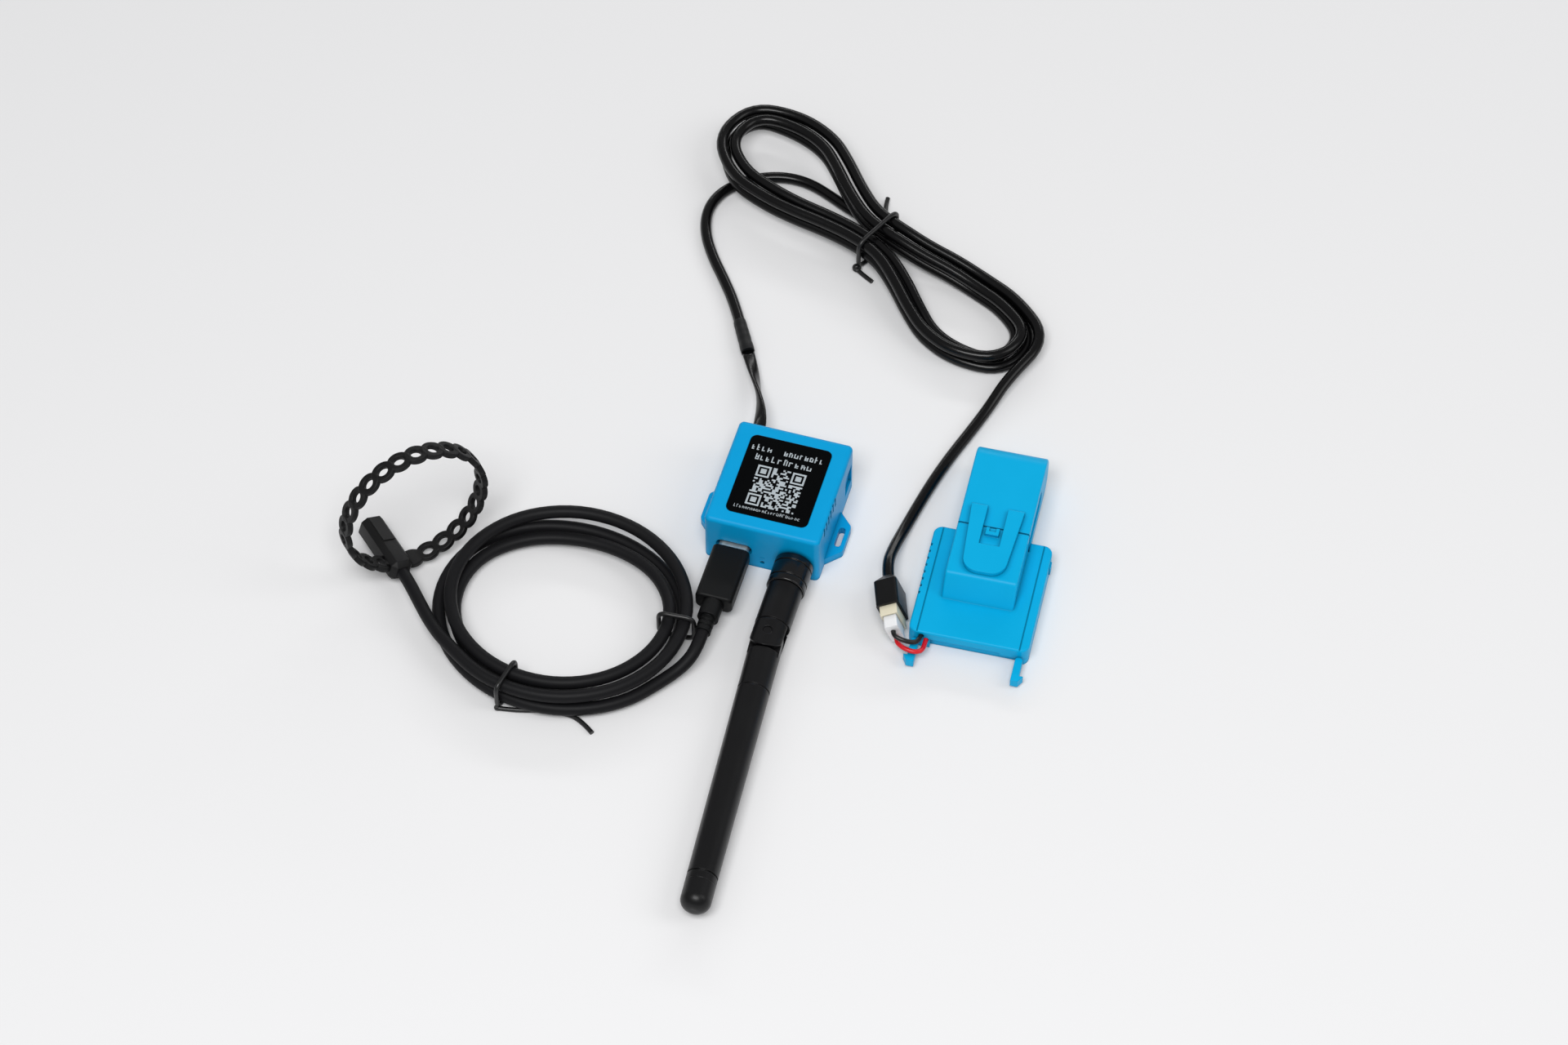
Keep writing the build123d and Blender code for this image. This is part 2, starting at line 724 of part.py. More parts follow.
# Antenna barrel with the hinge cheeks
barrel_back = nut_front - barrel_gap
hinge_y = barrel_back - hinge_distance
barrel_radius = barrel_diameter / 2
barrel = rod_y(antenna_x, antenna_z, (hinge_y, barrel_back), barrel_diameter)
cheek = rod_z(antenna_x, hinge_y, (antenna_z - barrel_radius, antenna_z + barrel_radius), barrel_diameter)
cheek &= rod_y(antenna_x, antenna_z, (hinge_y - barrel_diameter, barrel_back), barrel_diameter)
barrel += cheek
slot_back = hinge_y + tongue_radius + slot_back_gap
barrel -= block((antenna_x - barrel_diameter, antenna_x + barrel_diameter),
                (hinge_y - barrel_diameter, slot_back),
                (antenna_z - cheek_gap / 2, antenna_z + cheek_gap / 2))
barrel -= rod_z(antenna_x, hinge_y, (antenna_z - barrel_diameter, antenna_z + barrel_diameter),
                hinge_pin_diameter + 2 * fit)
barrel -= groove_y(antenna_x, antenna_z, barrel_back - barrel_groove_distance, barrel_diameter)
lip_inside = nut_front + nut_lip
barrel += rod_y(antenna_x, antenna_z, (barrel_back - overrun, lip_inside + fit + collar_length / 2),
                neck_diameter)
barrel += rod_y(antenna_x, antenna_z, (lip_inside + fit, lip_inside + fit + collar_length),
                collar_diameter)
barrel += rod_y(antenna_x, antenna_z, (lip_inside + fit, jack_front + contact_length), contact_diameter)
save(barrel, "antenna_barrel")

pin_half_length = barrel_radius - hinge_pin_inset
save(rod_z(antenna_x, hinge_y, (antenna_z - pin_half_length, antenna_z + pin_half_length),
           hinge_pin_diameter), "antenna_hinge_pin")

# Whip, built along its own axis and leaned
whip_frame = Pos(antenna_x, hinge_y, antenna_z) * Rot(0, 0, whip_lean)
whip_tip_distance = whip_cap_distance + end_cap_length


def taper(start, end):
    along = whip_tip_distance - whip_root_distance
    narrowing = (whip_root_diameter - whip_end_diameter) / along
    first = whip_root_diameter - narrowing * (start - whip_root_distance)
    last = whip_root_diameter - narrowing * (end - whip_root_distance)
    return loft([Plane(origin=(0, -start, 0), x_dir=(1, 0, 0), z_dir=(0, -1, 0)) * Circle(first / 2),
                 Plane(origin=(0, -end, 0), x_dir=(1, 0, 0), z_dir=(0, -1, 0)) * Circle(last / 2)])


whip = taper(whip_root_distance, whip_cap_distance)
half_tongue = cheek_gap / 2 - tongue_fit
whip += rod_z(0, 0, (-half_tongue, half_tongue), 2 * tongue_radius)
tongue = block((-tongue_radius, tongue_radius), (-whip_root_distance - overrun, 0),
               (-half_tongue, half_tongue))
whip += tongue
whip -= rod_z(0, 0, (-tongue_radius, tongue_radius), hinge_pin_diameter + 2 * turning_fit)
whip -= groove_y(0, 0, -whip_ring_distance, whip_root_diameter)
whip -= groove_y(0, 0, -(whip_cap_distance - whip_cap_groove_setback), whip_end_diameter)
save(whip_frame * whip, "antenna_whip")

cap = taper(whip_cap_distance, whip_tip_distance)
cap = fillet(cap.edges().sort_by(Axis.Y)[0], whip_tip_radius)
save(whip_frame * cap, "antenna_end_cap")

# Plug of the lead
shell = block((usb_x - plug_shell_width / 2, usb_x + plug_shell_width / 2),
              (plug_shell_start, plug_shell_end),
              (usb_z - plug_shell_height / 2, usb_z + plug_shell_height / 2))
shell = rounded(shell, Axis.Y, plug_shell_radius)
hollow_half_width = plug_shell_width / 2 - plug_shell_wall
hollow_half_height = plug_shell_height / 2 - plug_shell_wall
hollow = block((usb_x - hollow_half_width, usb_x + hollow_half_width),
               (plug_shell_start + overrun, plug_shell_end + overrun),
               (usb_z - hollow_half_height, usb_z + hollow_half_height))
shell -= rounded(hollow, Axis.Y, plug_shell_radius - plug_shell_wall)
save(shell, "usb_plug_shell")

overmould_back = plug_shell_start - overmould_length
overmould = block((usb_x - overmould_width / 2, usb_x + overmould_width / 2),
                  (overmould_back, plug_shell_start),
                  (usb_z - overmould_height / 2, usb_z + overmould_height / 2))
overmould = rounded(overmould, Axis.Y, overmould_edge_radius)
overmould = fillet(overmould.faces().sort_by(Axis.Y)[0].edges(), overmould_end_radius)
overmould = fillet(overmould.faces().sort_by(Axis.Y)[-1].edges(), overmould_end_radius / 2)
save(overmould, "usb_plug_overmould")

relief_end = overmould_back - relief_length - relief_neck_length
relief = rod_y(usb_x, usb_z, (overmould_back - relief_length, overmould_back), relief_diameter)
relief += rod_y(usb_x, usb_z, (relief_end, overmould_back - relief_length / 2), relief_neck_diameter)
for index in range(relief_groove_count):
    groove_share = (index + 1) / (relief_groove_count + 1)
    groove_centre = overmould_back - relief_length - relief_neck_length * groove_share
    groove_ends = (groove_centre - relief_groove_width / 2, groove_centre + relief_groove_width / 2)
    relief -= rod_y(usb_x, usb_z, groove_ends, relief_diameter) - rod_y(
        usb_x, usb_z, groove_ends, relief_neck_diameter - 2 * relief_groove_depth)
save(relief, "usb_strain_relief")


# Coil of the lead: a spiral in, a climb in a half turn, and a spiral out on top
coil_floor = tie_diameter + fit + lead_diameter / 2


def coil_point(quarter):
    turn = math.radians(coil_start_angle - 90 * quarter)
    climbed = min(max((quarter - coil_low_quarters) / coil_climb_quarters, 0), 1)
    high = quarter - coil_low_quarters - coil_climb_quarters
    lane = high / 4 if climbed == 1 else (coil_low_quarters - quarter) / 4
    if 0 < climbed < 1:
        lane = coil_climb_lane * math.sin(math.pi * climbed)
    if climbed < 1:
        lane -= coil_sag * max(math.sin(turn), 0) ** 2
    across = coil_inner_a + coil_lane * lane
    along = coil_inner_b + coil_lane * lane
    height = coil_floor + coil_level * climbed ** 2 * (3 - 2 * climbed)
    return Vector(coil_centre_x + across * math.cos(turn), coil_centre_y + along * math.sin(turn), height)


def coil_station(quarter):
    way = coil_point(quarter + coil_probe_step) - coil_point(quarter - coil_probe_step)
    return coil_point(quarter), way.normalized()


coil_quarters = coil_low_quarters + coil_climb_quarters + coil_high_quarters
coil_stations = [coil_station(half / 2) for half in range(2 * coil_quarters + 1)]
coil_start, coil_start_way = coil_stations[0]
coil_exit, coil_exit_way = coil_stations[-1]
save(wound_tube(coil_stations, lead_diameter, "lead_coil"), "lead_coil")

approach = coil_start - coil_start_way * (2 * lead_diameter)
plug_lead_points = [(usb_x, relief_end, usb_z)] + plug_lead_route + [tuple(approach), tuple(coil_start)]
save(cord_tube(plug_lead_points, lead_diameter, "lead_at_plug"), "lead_at_plug")

# Ties of the coil: a closed ring about the strands, and the long tail of one
def tie_ring(middle, outward, across_half, low, high):
    centre = Vector(middle.X, middle.Y, (low + high) / 2)
    way = Vector(-outward.Y, outward.X, 0)
    plane = Plane(origin=centre, x_dir=outward, z_dir=way)
    outline = RectangleRounded(2 * across_half, high - low, tie_corner_radius)
    path = (plane * outline).wire()
    start = path @ 0
    section = Plane(origin=start, z_dir=path % 0) * Circle(tie_diameter / 2)
    return sweep(section, path=path)


tie_low = tie_diameter / 2
coil_tie_high = coil_floor + coil_level + lead_diameter / 2 + tie_slack + tie_diameter / 2
for number, angle, lanes in ((1, coil_tie_angle_1, coil_tie_lanes_1),
                             (2, coil_tie_angle_2, coil_tie_lanes_2)):
    turn = math.radians(angle)
    tie_a = coil_inner_a + coil_lane * (lanes[0] + lanes[1]) / 2
    tie_b = coil_inner_b + coil_lane * (lanes[0] + lanes[1]) / 2
    middle = Vector(coil_centre_x + tie_a * math.cos(turn), coil_centre_y + tie_b * math.sin(turn), tie_low)
    outward = Vector(tie_b * math.cos(turn), tie_a * math.sin(turn), 0).normalized()
    across_half = coil_lane * (lanes[1] - lanes[0]) / 2 + lead_diameter / 2 + tie_slack + tie_diameter / 2
    tie = tie_ring(middle, outward, across_half, tie_low, coil_tie_high)
    knot = middle + outward * (across_half + coil_knot_diameter / 2 - tie_diameter / 2)
    knot = Vector(knot.X, knot.Y, coil_knot_diameter / 2)
    tie += Pos(knot) * Cylinder(coil_knot_diameter / 2, coil_knot_diameter)
    if number == 2:
        tail_start = (knot.X, knot.Y, tie_low)
        tie += cord_tube([tail_start] + tail_route, tie_diameter, "tail of coil_tie_2")
    save(tie, "coil_tie_" + str(number))

# Hank of the cable
hank_turn = math.radians(hank_heading)
along_1 = Vector(math.cos(hank_turn), math.sin(hank_turn), 0)
along_2 = Vector(math.sin(hank_turn), -math.cos(hank_turn), 0)


def hank_place(station, lane, level):
    (first, second), (normal_1, normal_2) = hank_stations[station]
    first += (lane - 1) * hank_lane * normal_1
    second += (lane - 1) * hank_lane * normal_2
    height = hank_floor + hank_level * (level + hank_lift_shares[station])
    place = Vector(*hank_centre, height) + along_1 * first + along_2 * second
    way = along_1 * (-normal_2) + along_2 * normal_1
    return place, way.normalized()


hank_start, hank_start_way = hank_place("waist_b", 1.0, 0.0)
hank_start = Vector(hank_start.X, hank_start.Y, hank_start_height)
first_slope, first_slope_way = hank_place("slope_br", 1.0, 0.0)
first_slope = Vector(first_slope.X, first_slope.Y, hank_floor)
hank_run = [(hank_start, hank_start_way), (first_slope, first_slope_way)]
hank_run += [hank_place(*one_pass) for one_pass in hank_passes]
hank_end, hank_end_way = hank_place("right_end", hank_exit_lane, 0.0)
hank_end = Vector(hank_end.X, hank_end.Y, hank_exit_height)
hank_run.append((hank_end, hank_end_way))
sloped_run = []
for index, (place, way) in enumerate(hank_run):
    before = hank_run[max(index - 1, 0)][0]
    after = hank_run[min(index + 1, len(hank_run) - 1)][0]
    level_run = Vector(after.X - before.X, after.Y - before.Y, 0).length
    steepness = (after.Z - before.Z) / level_run
    if (place.Z - before.Z) * (after.Z - place.Z) <= 0:
        steepness = 0
    sloped_run.append((place, Vector(way.X, way.Y, steepness).normalized()))
save(wound_tube(sloped_run, cable_diameter, "ct_cable_hank"), "ct_cable_hank")

waist_high = hank_place("waist_b", 1.0, 1.0)[0]
waist_other = hank_place("waist_a", 1.0, 1.0)[0]
waist_middle = (waist_high + waist_other) * 0.5
waist_half = (waist_high - waist_other).length / 2 + cable_diameter / 2 + tie_slack + tie_diameter / 2
hank_tie_high = waist_high.Z + cable_diameter / 2 + tie_slack + tie_diameter / 2
hank_tie = tie_ring(waist_middle, along_2, waist_half, tie_low, hank_tie_high)
knot_reach = waist_half + hank_knot_diameter / 2 - tie_diameter / 2
knot = waist_middle - along_2 * knot_reach
hank_tie += Pos(knot.X, knot.Y, hank_knot_diameter / 2) * Cylinder(hank_knot_diameter / 2, hank_knot_diameter)
far_side = waist_middle + along_2 * (waist_half - tie_diameter / 4)
near_points = [(knot.X, knot.Y, tie_low)] + hank_near_tail
far_points = [(far_side.X, far_side.Y, tie_low + tie_corner_radius + tie_diameter / 2)] + hank_far_tail
hank_tie += cord_tube(near_points, tie_diameter, "near tail of hank_tie")
hank_tie += cord_tube(far_points, tie_diameter, "far tail of hank_tie")
save(hank_tie, "hank_tie")

# Cable out of the hub, sleeve, near run and far run
save(cord_tube(pair_route, pair_diameter, "cable_pair"), "cable_pair")
save(rod_between(pair_route[-1], sleeve_end, sleeve_diameter), "heat_shrink_sleeve")
save(cord_tube(near_route + [tuple(hank_start)], cable_diameter, "ct_cable_near"), "ct_cable_near")

grommet = rod_y(cable_exit_x, cable_exit_z, (inner_half_depth, half_depth + grommet_flange_thickness),
                grommet_neck_diameter)
grommet += rod_y(cable_exit_x, cable_exit_z, (half_depth, half_depth + grommet_flange_thickness),
                 grommet_flange_diameter)
grommet -= rod_y(cable_exit_x, cable_exit_z, (inner_half_depth - overrun, half_depth + overrun),
                 pair_diameter + 2 * fit)
save(grommet, "cable_grommet")

# Socket of the cable, its header, and the clamp's plug in it
exit_turn = math.radians(socket_heading)
exit_way = Vector(math.cos(exit_turn), math.sin(exit_turn), 0)
roll = math.radians(socket_roll)
side_way = Vector(math.sin(exit_turn), -math.cos(exit_turn), 0)
socket_up = Vector(side_way.X * math.sin(roll), side_way.Y * math.sin(roll), math.cos(roll))
socket_z = (socket_height * math.cos(roll) + socket_width * math.sin(roll)) / 2
socket_frame = Plane(origin=(socket_x, socket_y, socket_z), x_dir=exit_way, z_dir=socket_up).location
socket_half = socket_length / 2
socket = block((-socket_half, socket_half), (-socket_width / 2, socket_width / 2),
               (-socket_height / 2, socket_height / 2))
socket = rounded(socket, Axis.X, socket_edge_radius)
back_face = Plane(origin=(-socket_half, 0, 0), x_dir=(0, 1, 0), z_dir=(-1, 0, 0))
neck_face = Plane(origin=(-socket_half - socket_taper_length, 0, 0), x_dir=(0, 1, 0), z_dir=(-1, 0, 0))
socket += loft([back_face * RectangleRounded(socket_width, socket_height, socket_edge_radius),
                neck_face * RectangleRounded(socket_neck_diameter, socket_neck_diameter,
                                             socket_neck_diameter / 2 - fit)])
header_back = socket_half + header_reach - header_length
socket -= block((header_back - fit, socket_half + overrun),
                (-header_width / 2 - fit, header_width / 2 + fit),
                (-header_height / 2 - fit, header_height / 2 + fit))
save(socket_frame * socket, "socket_housing")

header_front = socket_half + header_reach
header = block((header_back, header_front), (-header_width / 2, header_width / 2),
               (-header_height / 2, header_height / 2))
jst_half_width = header_width / 2 - header_wall - fit
jst_half_height = header_height / 2 - header_wall - fit
header -= block((header_back + header_floor, header_front + overrun),
                (-jst_half_width - fit, jst_half_width + fit),
                (-jst_half_height - fit, jst_half_height + fit))
jst_back = header_front - jst_insert
for side in (-1, 1):
    pin_z = side * header_pin_pitch / 2
    header += block((header_back + header_floor / 2, jst_back - fit),
                    (-header_pin_width / 2, header_pin_width / 2),
                    (pin_z - header_pin_width / 2, pin_z + header_pin_width / 2))
save(socket_frame * header, "socket_header")

jst_front = socket_half + jst_reach
jst = block((jst_back, jst_front), (-jst_half_width, jst_half_width),
            (-jst_half_height, jst_half_height))
jst = rounded(jst, Axis.X, jst_edge_radius)
ridge_end = header_front + fit + jst_ridge_length
jst += block((header_front + fit, ridge_end), (-jst_half_width - jst_ridge_height, 0),
             (-jst_ridge_width / 2, jst_ridge_width / 2))
save(socket_frame * jst, "jst_plug")

socket_back = -socket_half - socket_taper_length
far_end = (socket_frame * Pos(socket_back, 0, 0)).position
before_end = (socket_frame * Pos(socket_back - far_lead_in, 0, 0)).position
far_points = [tuple(hank_end)] + far_route + [tuple(before_end), tuple(far_end)]
save(cord_tube(far_points, cable_diameter, "ct_cable_far"), "ct_cable_far")

# Current clamp: covers
clamp_frame = Pos(clamp_x, clamp_y, 0) * Rot(0, 0, clamp_heading)
half_clamp = clamp_half_width


def clamp_outline(grow):
    side_u = half_clamp + grow
    notch_u = tower_half_width + jaw_gap - grow
    front_v = clamp_front_edge - grow
    back_v = clamp_back_edge + grow
    shoulder_v = clamp_shoulder_edge + grow
    return [(-side_u, front_v), (side_u, front_v), (side_u, shoulder_v), (notch_u, shoulder_v),
            (notch_u, back_v), (-notch_u, back_v), (-notch_u, shoulder_v), (-side_u, shoulder_v)]


def clamp_plate(grow, low, high):
    face = make_face(Polyline(*clamp_outline(grow), close=True))
    return Pos(0, 0, low) * extrude(face, high - low)


def tower_profile(grow, low):
    slope = (clamp_height - clamp_base_height) / (tower_slope_top - tower_slope_foot)
    top = clamp_height + grow
    foot_v = tower_slope_foot - grow * math.sqrt(1 + 1 / slope ** 2)
    return [(foot_v - (clamp_base_height - low) / slope, low),
            (foot_v + (top - clamp_base_height) / slope, top),
            (clamp_back_edge + grow, top), (clamp_back_edge + grow, low)]


def tower_solid(grow, low):
    plane = Plane(origin=(-tower_half_width - grow, 0, 0), x_dir=(0, 1, 0), z_dir=(1, 0, 0))
    face = make_face(plane * Polyline(*tower_profile(grow, low), close=True))
    return extrude(face, 2 * (tower_half_width + grow), dir=(1, 0, 0))


front_cover = clamp_plate(0, clamp_split_height, clamp_base_height)
outer_corners = [edge for edge in front_cover.edges().filter_by(Axis.Z)
                 if abs(edge.center().X) > half_clamp - fit]
front_cover = fillet(outer_corners, clamp_corner_radius)
front_cover = fillet(front_cover.faces().sort_by(Axis.Z)[-1].edges(), clamp_edge_radius)
tower = tower_solid(0, clamp_base_height - clamp_wall)
brow_edge = tower.faces().sort_by(Axis.Z)[-1].edges().filter_by(Axis.X).sort_by(Axis.Y)[0]
tower = fillet(brow_edge, tower_brow_radius)
top_edges = tower.faces().sort_by(Axis.Z)[-1].edges().filter_by(Axis.Y)
tower = fillet(top_edges, clamp_edge_radius)
front_cover += tower
front_cover -= clamp_plate(-clamp_wall, clamp_split_height - overrun, clamp_base_height - clamp_wall)
front_cover -= tower_solid(-clamp_wall, clamp_base_height - clamp_wall - overrun)
for side in (-1, 1):
    line_u = side * (half_clamp - panel_line_inset)
    front_cover -= block((line_u - panel_line_width / 2, line_u + panel_line_width / 2),
                         (clamp_front_edge - overrun, clamp_shoulder_edge + overrun),
                         (clamp_base_height - panel_line_depth, clamp_base_height + overrun))
for index in range(notch_count):
    notch_v = notch_first_v + index * notch_pitch
    front_cover -= block((-half_clamp - overrun, -half_clamp + notch_depth),
                         (notch_v - notch_width / 2, notch_v + notch_width / 2),
                         (clamp_base_height - notch_height, clamp_base_height + overrun))
front_cover += block((half_clamp - clamp_wall / 2, half_clamp + side_tab_reach),
                     (side_tab_v - side_tab_length / 2, side_tab_v + side_tab_length / 2),
                     (clamp_split_height, clamp_split_height + side_tab_height))
lip_low = clamp_base_height - lip_height
lip_wall = clamp_front_edge + lip_recess + clamp_wall
front_cover += block((lip_left - clamp_wall, lip_right + clamp_wall),
                     (clamp_front_edge + clamp_wall - fit, lip_wall),
                     (clamp_split_height, clamp_base_height - clamp_wall / 2))
front_cover -= block((lip_left, lip_right), (clamp_front_edge - overrun, clamp_front_edge + lip_recess),
                     (clamp_split_height - overrun, lip_low))
front_cover += block((lip_tab_left, lip_right), (clamp_front_edge, clamp_front_edge + lip_recess + fit),
                     (lip_low - lip_tab_drop, lip_low))
catch_end = clamp_back_edge - catch_setback
catch = block((-catch_width / 2, catch_width / 2), (catch_end - catch_length, catch_end),
              (clamp_height - clamp_wall / 2, clamp_height + catch_height))
catch -= block((-catch_width / 4, catch_width / 4), (catch_end - catch_notch, catch_end + overrun),
               (clamp_height, clamp_height + catch_height + overrun))
front_cover += catch
for side in (-1, 1):
    boss = rod_z(side * clamp_screw_u, clamp_screw_v,
                 (clamp_split_height, clamp_base_height - clamp_wall / 2), clamp_boss_diameter)
    boss -= rod_z(side * clamp_screw_u, clamp_screw_v,
                  (clamp_split_height - overrun, screw_head_depth + clamp_screw_length - clamp_wall),
                  clamp_screw_diameter + 2 * fit)
    front_cover += boss
for entry_u, entry_z in (black_entry, red_entry):
    front_cover -= rod_y(entry_u, entry_z, (clamp_front_edge - overrun, lip_wall + overrun),
                         wire_diameter + 2 * wire_hole_fit)

# Core seats in the split face
core_inside = clamp_back_edge - lower_core_bar
core_legs = (core_low_leg, core_high_leg)


def core_u(face_v, far_v, bar, grow):
    low_v, high_v = sorted((face_v, far_v))
    bar_v = (far_v - bar, far_v) if far_v > face_v else (far_v, far_v + bar)
    wide = (-core_half_width - grow, core_half_width + grow)
    solid = block(wide, (bar_v[0] - grow, bar_v[1] + grow),
                  (core_low_leg - grow, core_high_leg + core_thickness + grow))
    for leg in core_legs:
        solid += block(wide, (low_v - grow, high_v + grow), (leg - grow, leg + core_thickness + grow))
    return solid


front_cover -= core_u(clamp_back_edge, core_inside, core_thickness, fit)
save(clamp_frame * front_cover, "clamp_front_cover")

# Back cover with the hinge knuckles of the jaw
pin_v = clamp_back_edge + jaw_gap + jaw_knuckle_radius
pin_z = jaw_knuckle_radius
back_cover = clamp_plate(0, 0, clamp_split_height - fit)
outer_corners = [edge for edge in back_cover.edges().filter_by(Axis.Z)
                 if abs(edge.center().X) > half_clamp - fit]
back_cover = fillet(outer_corners, clamp_corner_radius)
back_cover -= clamp_plate(-clamp_wall, clamp_wall, clamp_split_height + overrun)
back_cover += block((lip_left - clamp_wall, lip_right + clamp_wall),
                    (clamp_front_edge + clamp_wall - fit, lip_wall),
                    (clamp_wall / 2, clamp_split_height - fit))
back_cover -= block((lip_left, lip_right), (clamp_front_edge - overrun, clamp_front_edge + lip_recess),
                    (-overrun, clamp_split_height + overrun))
knuckle_top = 2 * jaw_knuckle_radius
back_cover += block((-knuckle_half_width, knuckle_half_width), (clamp_back_edge - clamp_wall, pin_v),
                    (0, clamp_split_height - fit))
back_cover += rod_x(pin_v, pin_z, (-knuckle_half_width, knuckle_half_width), 2 * jaw_knuckle_radius)
back_cover -= rod_x(pin_v, pin_z, (-knuckle_half_width - overrun, knuckle_half_width + overrun),
                    jaw_pin_diameter + 2 * fit)
back_cover -= core_u(clamp_back_edge, core_inside, core_thickness, fit)
for side in (-1, 1):
    back_cover += rod_z(side * clamp_screw_u, clamp_screw_v,
                        (clamp_wall / 2, clamp_split_height - fit), clamp_boss_diameter)
    back_cover -= rod_z(side * clamp_screw_u, clamp_screw_v, (-overrun, screw_head_depth),
                        screw_head_diameter + 2 * fit)
    back_cover -= rod_z(side * clamp_screw_u, clamp_screw_v, (0, clamp_split_height + overrun),
                        clamp_screw_diameter + 2 * fit)
save(clamp_frame * back_cover, "clamp_back_cover")
for number, side in enumerate((-1, 1)):
    clamp_screw = screw(side * clamp_screw_u, clamp_screw_v, screw_head_depth, screw_head_diameter,
                        clamp_screw_diameter, clamp_screw_length - clamp_wall - 2 * fit)
    save(clamp_frame * clamp_screw, "clamp_screw_" + str(number + 1))

# Core, bobbin and winding in the base
lower_core = core_u(clamp_back_edge, core_inside, core_thickness, 0)
save(clamp_frame * lower_core, "lower_core")
bar_v = (core_inside, core_inside + core_thickness)
bobbin_low = core_low_leg + core_thickness + fit
bobbin_high = core_high_leg - fit


def bobbin_ring(reach, hole_reach, low, high):
    ring = block((-core_half_width - reach, core_half_width + reach),
                 (bar_v[0] - reach, bar_v[1] + reach), (low, high))
    return ring - block((-core_half_width - hole_reach, core_half_width + hole_reach),
                        (bar_v[0] - hole_reach, bar_v[1] + hole_reach), (low - overrun, high + overrun))


bobbin = bobbin_ring(bobbin_wall, fit, bobbin_low, bobbin_high)
bobbin += bobbin_ring(bobbin_wall + bobbin_flange_reach, fit, bobbin_low, bobbin_low + bobbin_flange)
bobbin += bobbin_ring(bobbin_wall + bobbin_flange_reach, fit, bobbin_high - bobbin_flange, bobbin_high)
save(clamp_frame * bobbin, "bobbin")
winding_low = bobbin_low + bobbin_flange + winding_end_gap
winding_high = bobbin_high - bobbin_flange - winding_end_gap
winding = bobbin_ring(bobbin_wall + winding_layer, bobbin_wall + fit, winding_low, winding_high)
save(clamp_frame * winding, "winding")
wire_board_v = clamp_front_edge + clamp_wall + wire_board_front_gap
wire_board = block((wire_board_u - wire_board_width / 2, wire_board_u + wire_board_width / 2),
                   (wire_board_v, wire_board_v + wire_board_length),
                   (clamp_wall, clamp_wall + wire_board_thickness))
save(clamp_frame * wire_board, "wire_board")

# Jaw with its window, its half of the core and the hinge
jaw_start = clamp_back_edge + jaw_gap
jaw = block((-tower_half_width, tower_half_width), (jaw_start, jaw_end), (0, clamp_height))
end_edges = jaw.faces().sort_by(Axis.Y)[-1].edges().filter_by(Axis.X)
jaw = fillet(end_edges, jaw_end_radius)
jaw = fillet(jaw.faces().sort_by(Axis.Z)[-1].edges().filter_by(Axis.Y), clamp_edge_radius)
window_radius = (window_high - window_low) / 2
window = block((-tower_half_width - overrun, tower_half_width + overrun),
               (window_start, window_end), (window_low, window_high))
window_end_edges = window.faces().sort_by(Axis.Y)[-1].edges().filter_by(Axis.X)
window = fillet(window_end_edges, window_radius - fit)
jaw -= window
split_reach = tower_half_width + overrun
split_core = tower_half_width - split_groove_depth
split_v = (jaw_start - overrun, jaw_start + split_groove_width)
jaw -= block((-split_reach, split_reach), split_v, (-overrun, clamp_height + overrun)) - block(
    (-split_core, split_core), split_v, (-overrun, clamp_height - split_groove_depth))
core_far = jaw_end - core_end_setback + core_end_bar
jaw -= core_u(jaw_start, core_far, core_end_bar, fit)
pad_height = (core_low_leg + core_thickness, core_high_leg)
jaw -= block((-core_half_width / 2 - fit, core_half_width / 2 + fit),
             (core_far - fit, core_far + pad_thickness / 2 + fit), (pad_height[0] - fit, pad_height[1] + fit))
jaw -= block((-tower_half_width - overrun, tower_half_width + overrun),
             (jaw_start - overrun, pin_v), (-overrun, pin_z))
jaw += rod_x(pin_v, pin_z, (-tower_half_width, tower_half_width), 2 * jaw_knuckle_radius)
knuckle_space = knuckle_half_width + knuckle_side_gap
jaw -= block((-knuckle_space, knuckle_space), (jaw_start - overrun, pin_v),
             (-overrun, knuckle_top + knuckle_gap))
jaw -= rod_x(pin_v, pin_z, (-knuckle_space, knuckle_space), knuckle_top + 2 * knuckle_gap)
corner_sweep = jaw_knuckle_radius * math.sqrt(2) + knuckle_gap
below_pin = block((-knuckle_space, knuckle_space), (pin_v, pin_v + 2 * corner_sweep), (-overrun, pin_z))
jaw -= below_pin & rod_x(pin_v, pin_z, (-knuckle_space, knuckle_space), 2 * corner_sweep)
jaw -= rod_x(pin_v, pin_z, (-tower_half_width - overrun, tower_half_width + overrun),
             jaw_pin_diameter + 2 * turning_fit)
save(clamp_frame * jaw, "upper_jaw")
upper_core = core_u(jaw_start, core_far, core_end_bar, 0)
core_cut = block((-core_half_width - overrun, core_half_width + overrun),
                 (jaw_start - overrun, pin_v + jaw_knuckle_radius + fit),
                 (-overrun, knuckle_top + knuckle_gap))
upper_core -= core_cut
save(clamp_frame * upper_core, "upper_core")
pad = block((-core_half_width / 2, core_half_width / 2), (core_far, core_far + pad_thickness / 2), pad_height)
save(clamp_frame * pad, "core_spring_pad")
jaw_pin = rod_x(pin_v, pin_z, (-tower_half_width, tower_half_width), jaw_pin_diameter)
save(clamp_frame * jaw_pin, "jaw_hinge_pin")

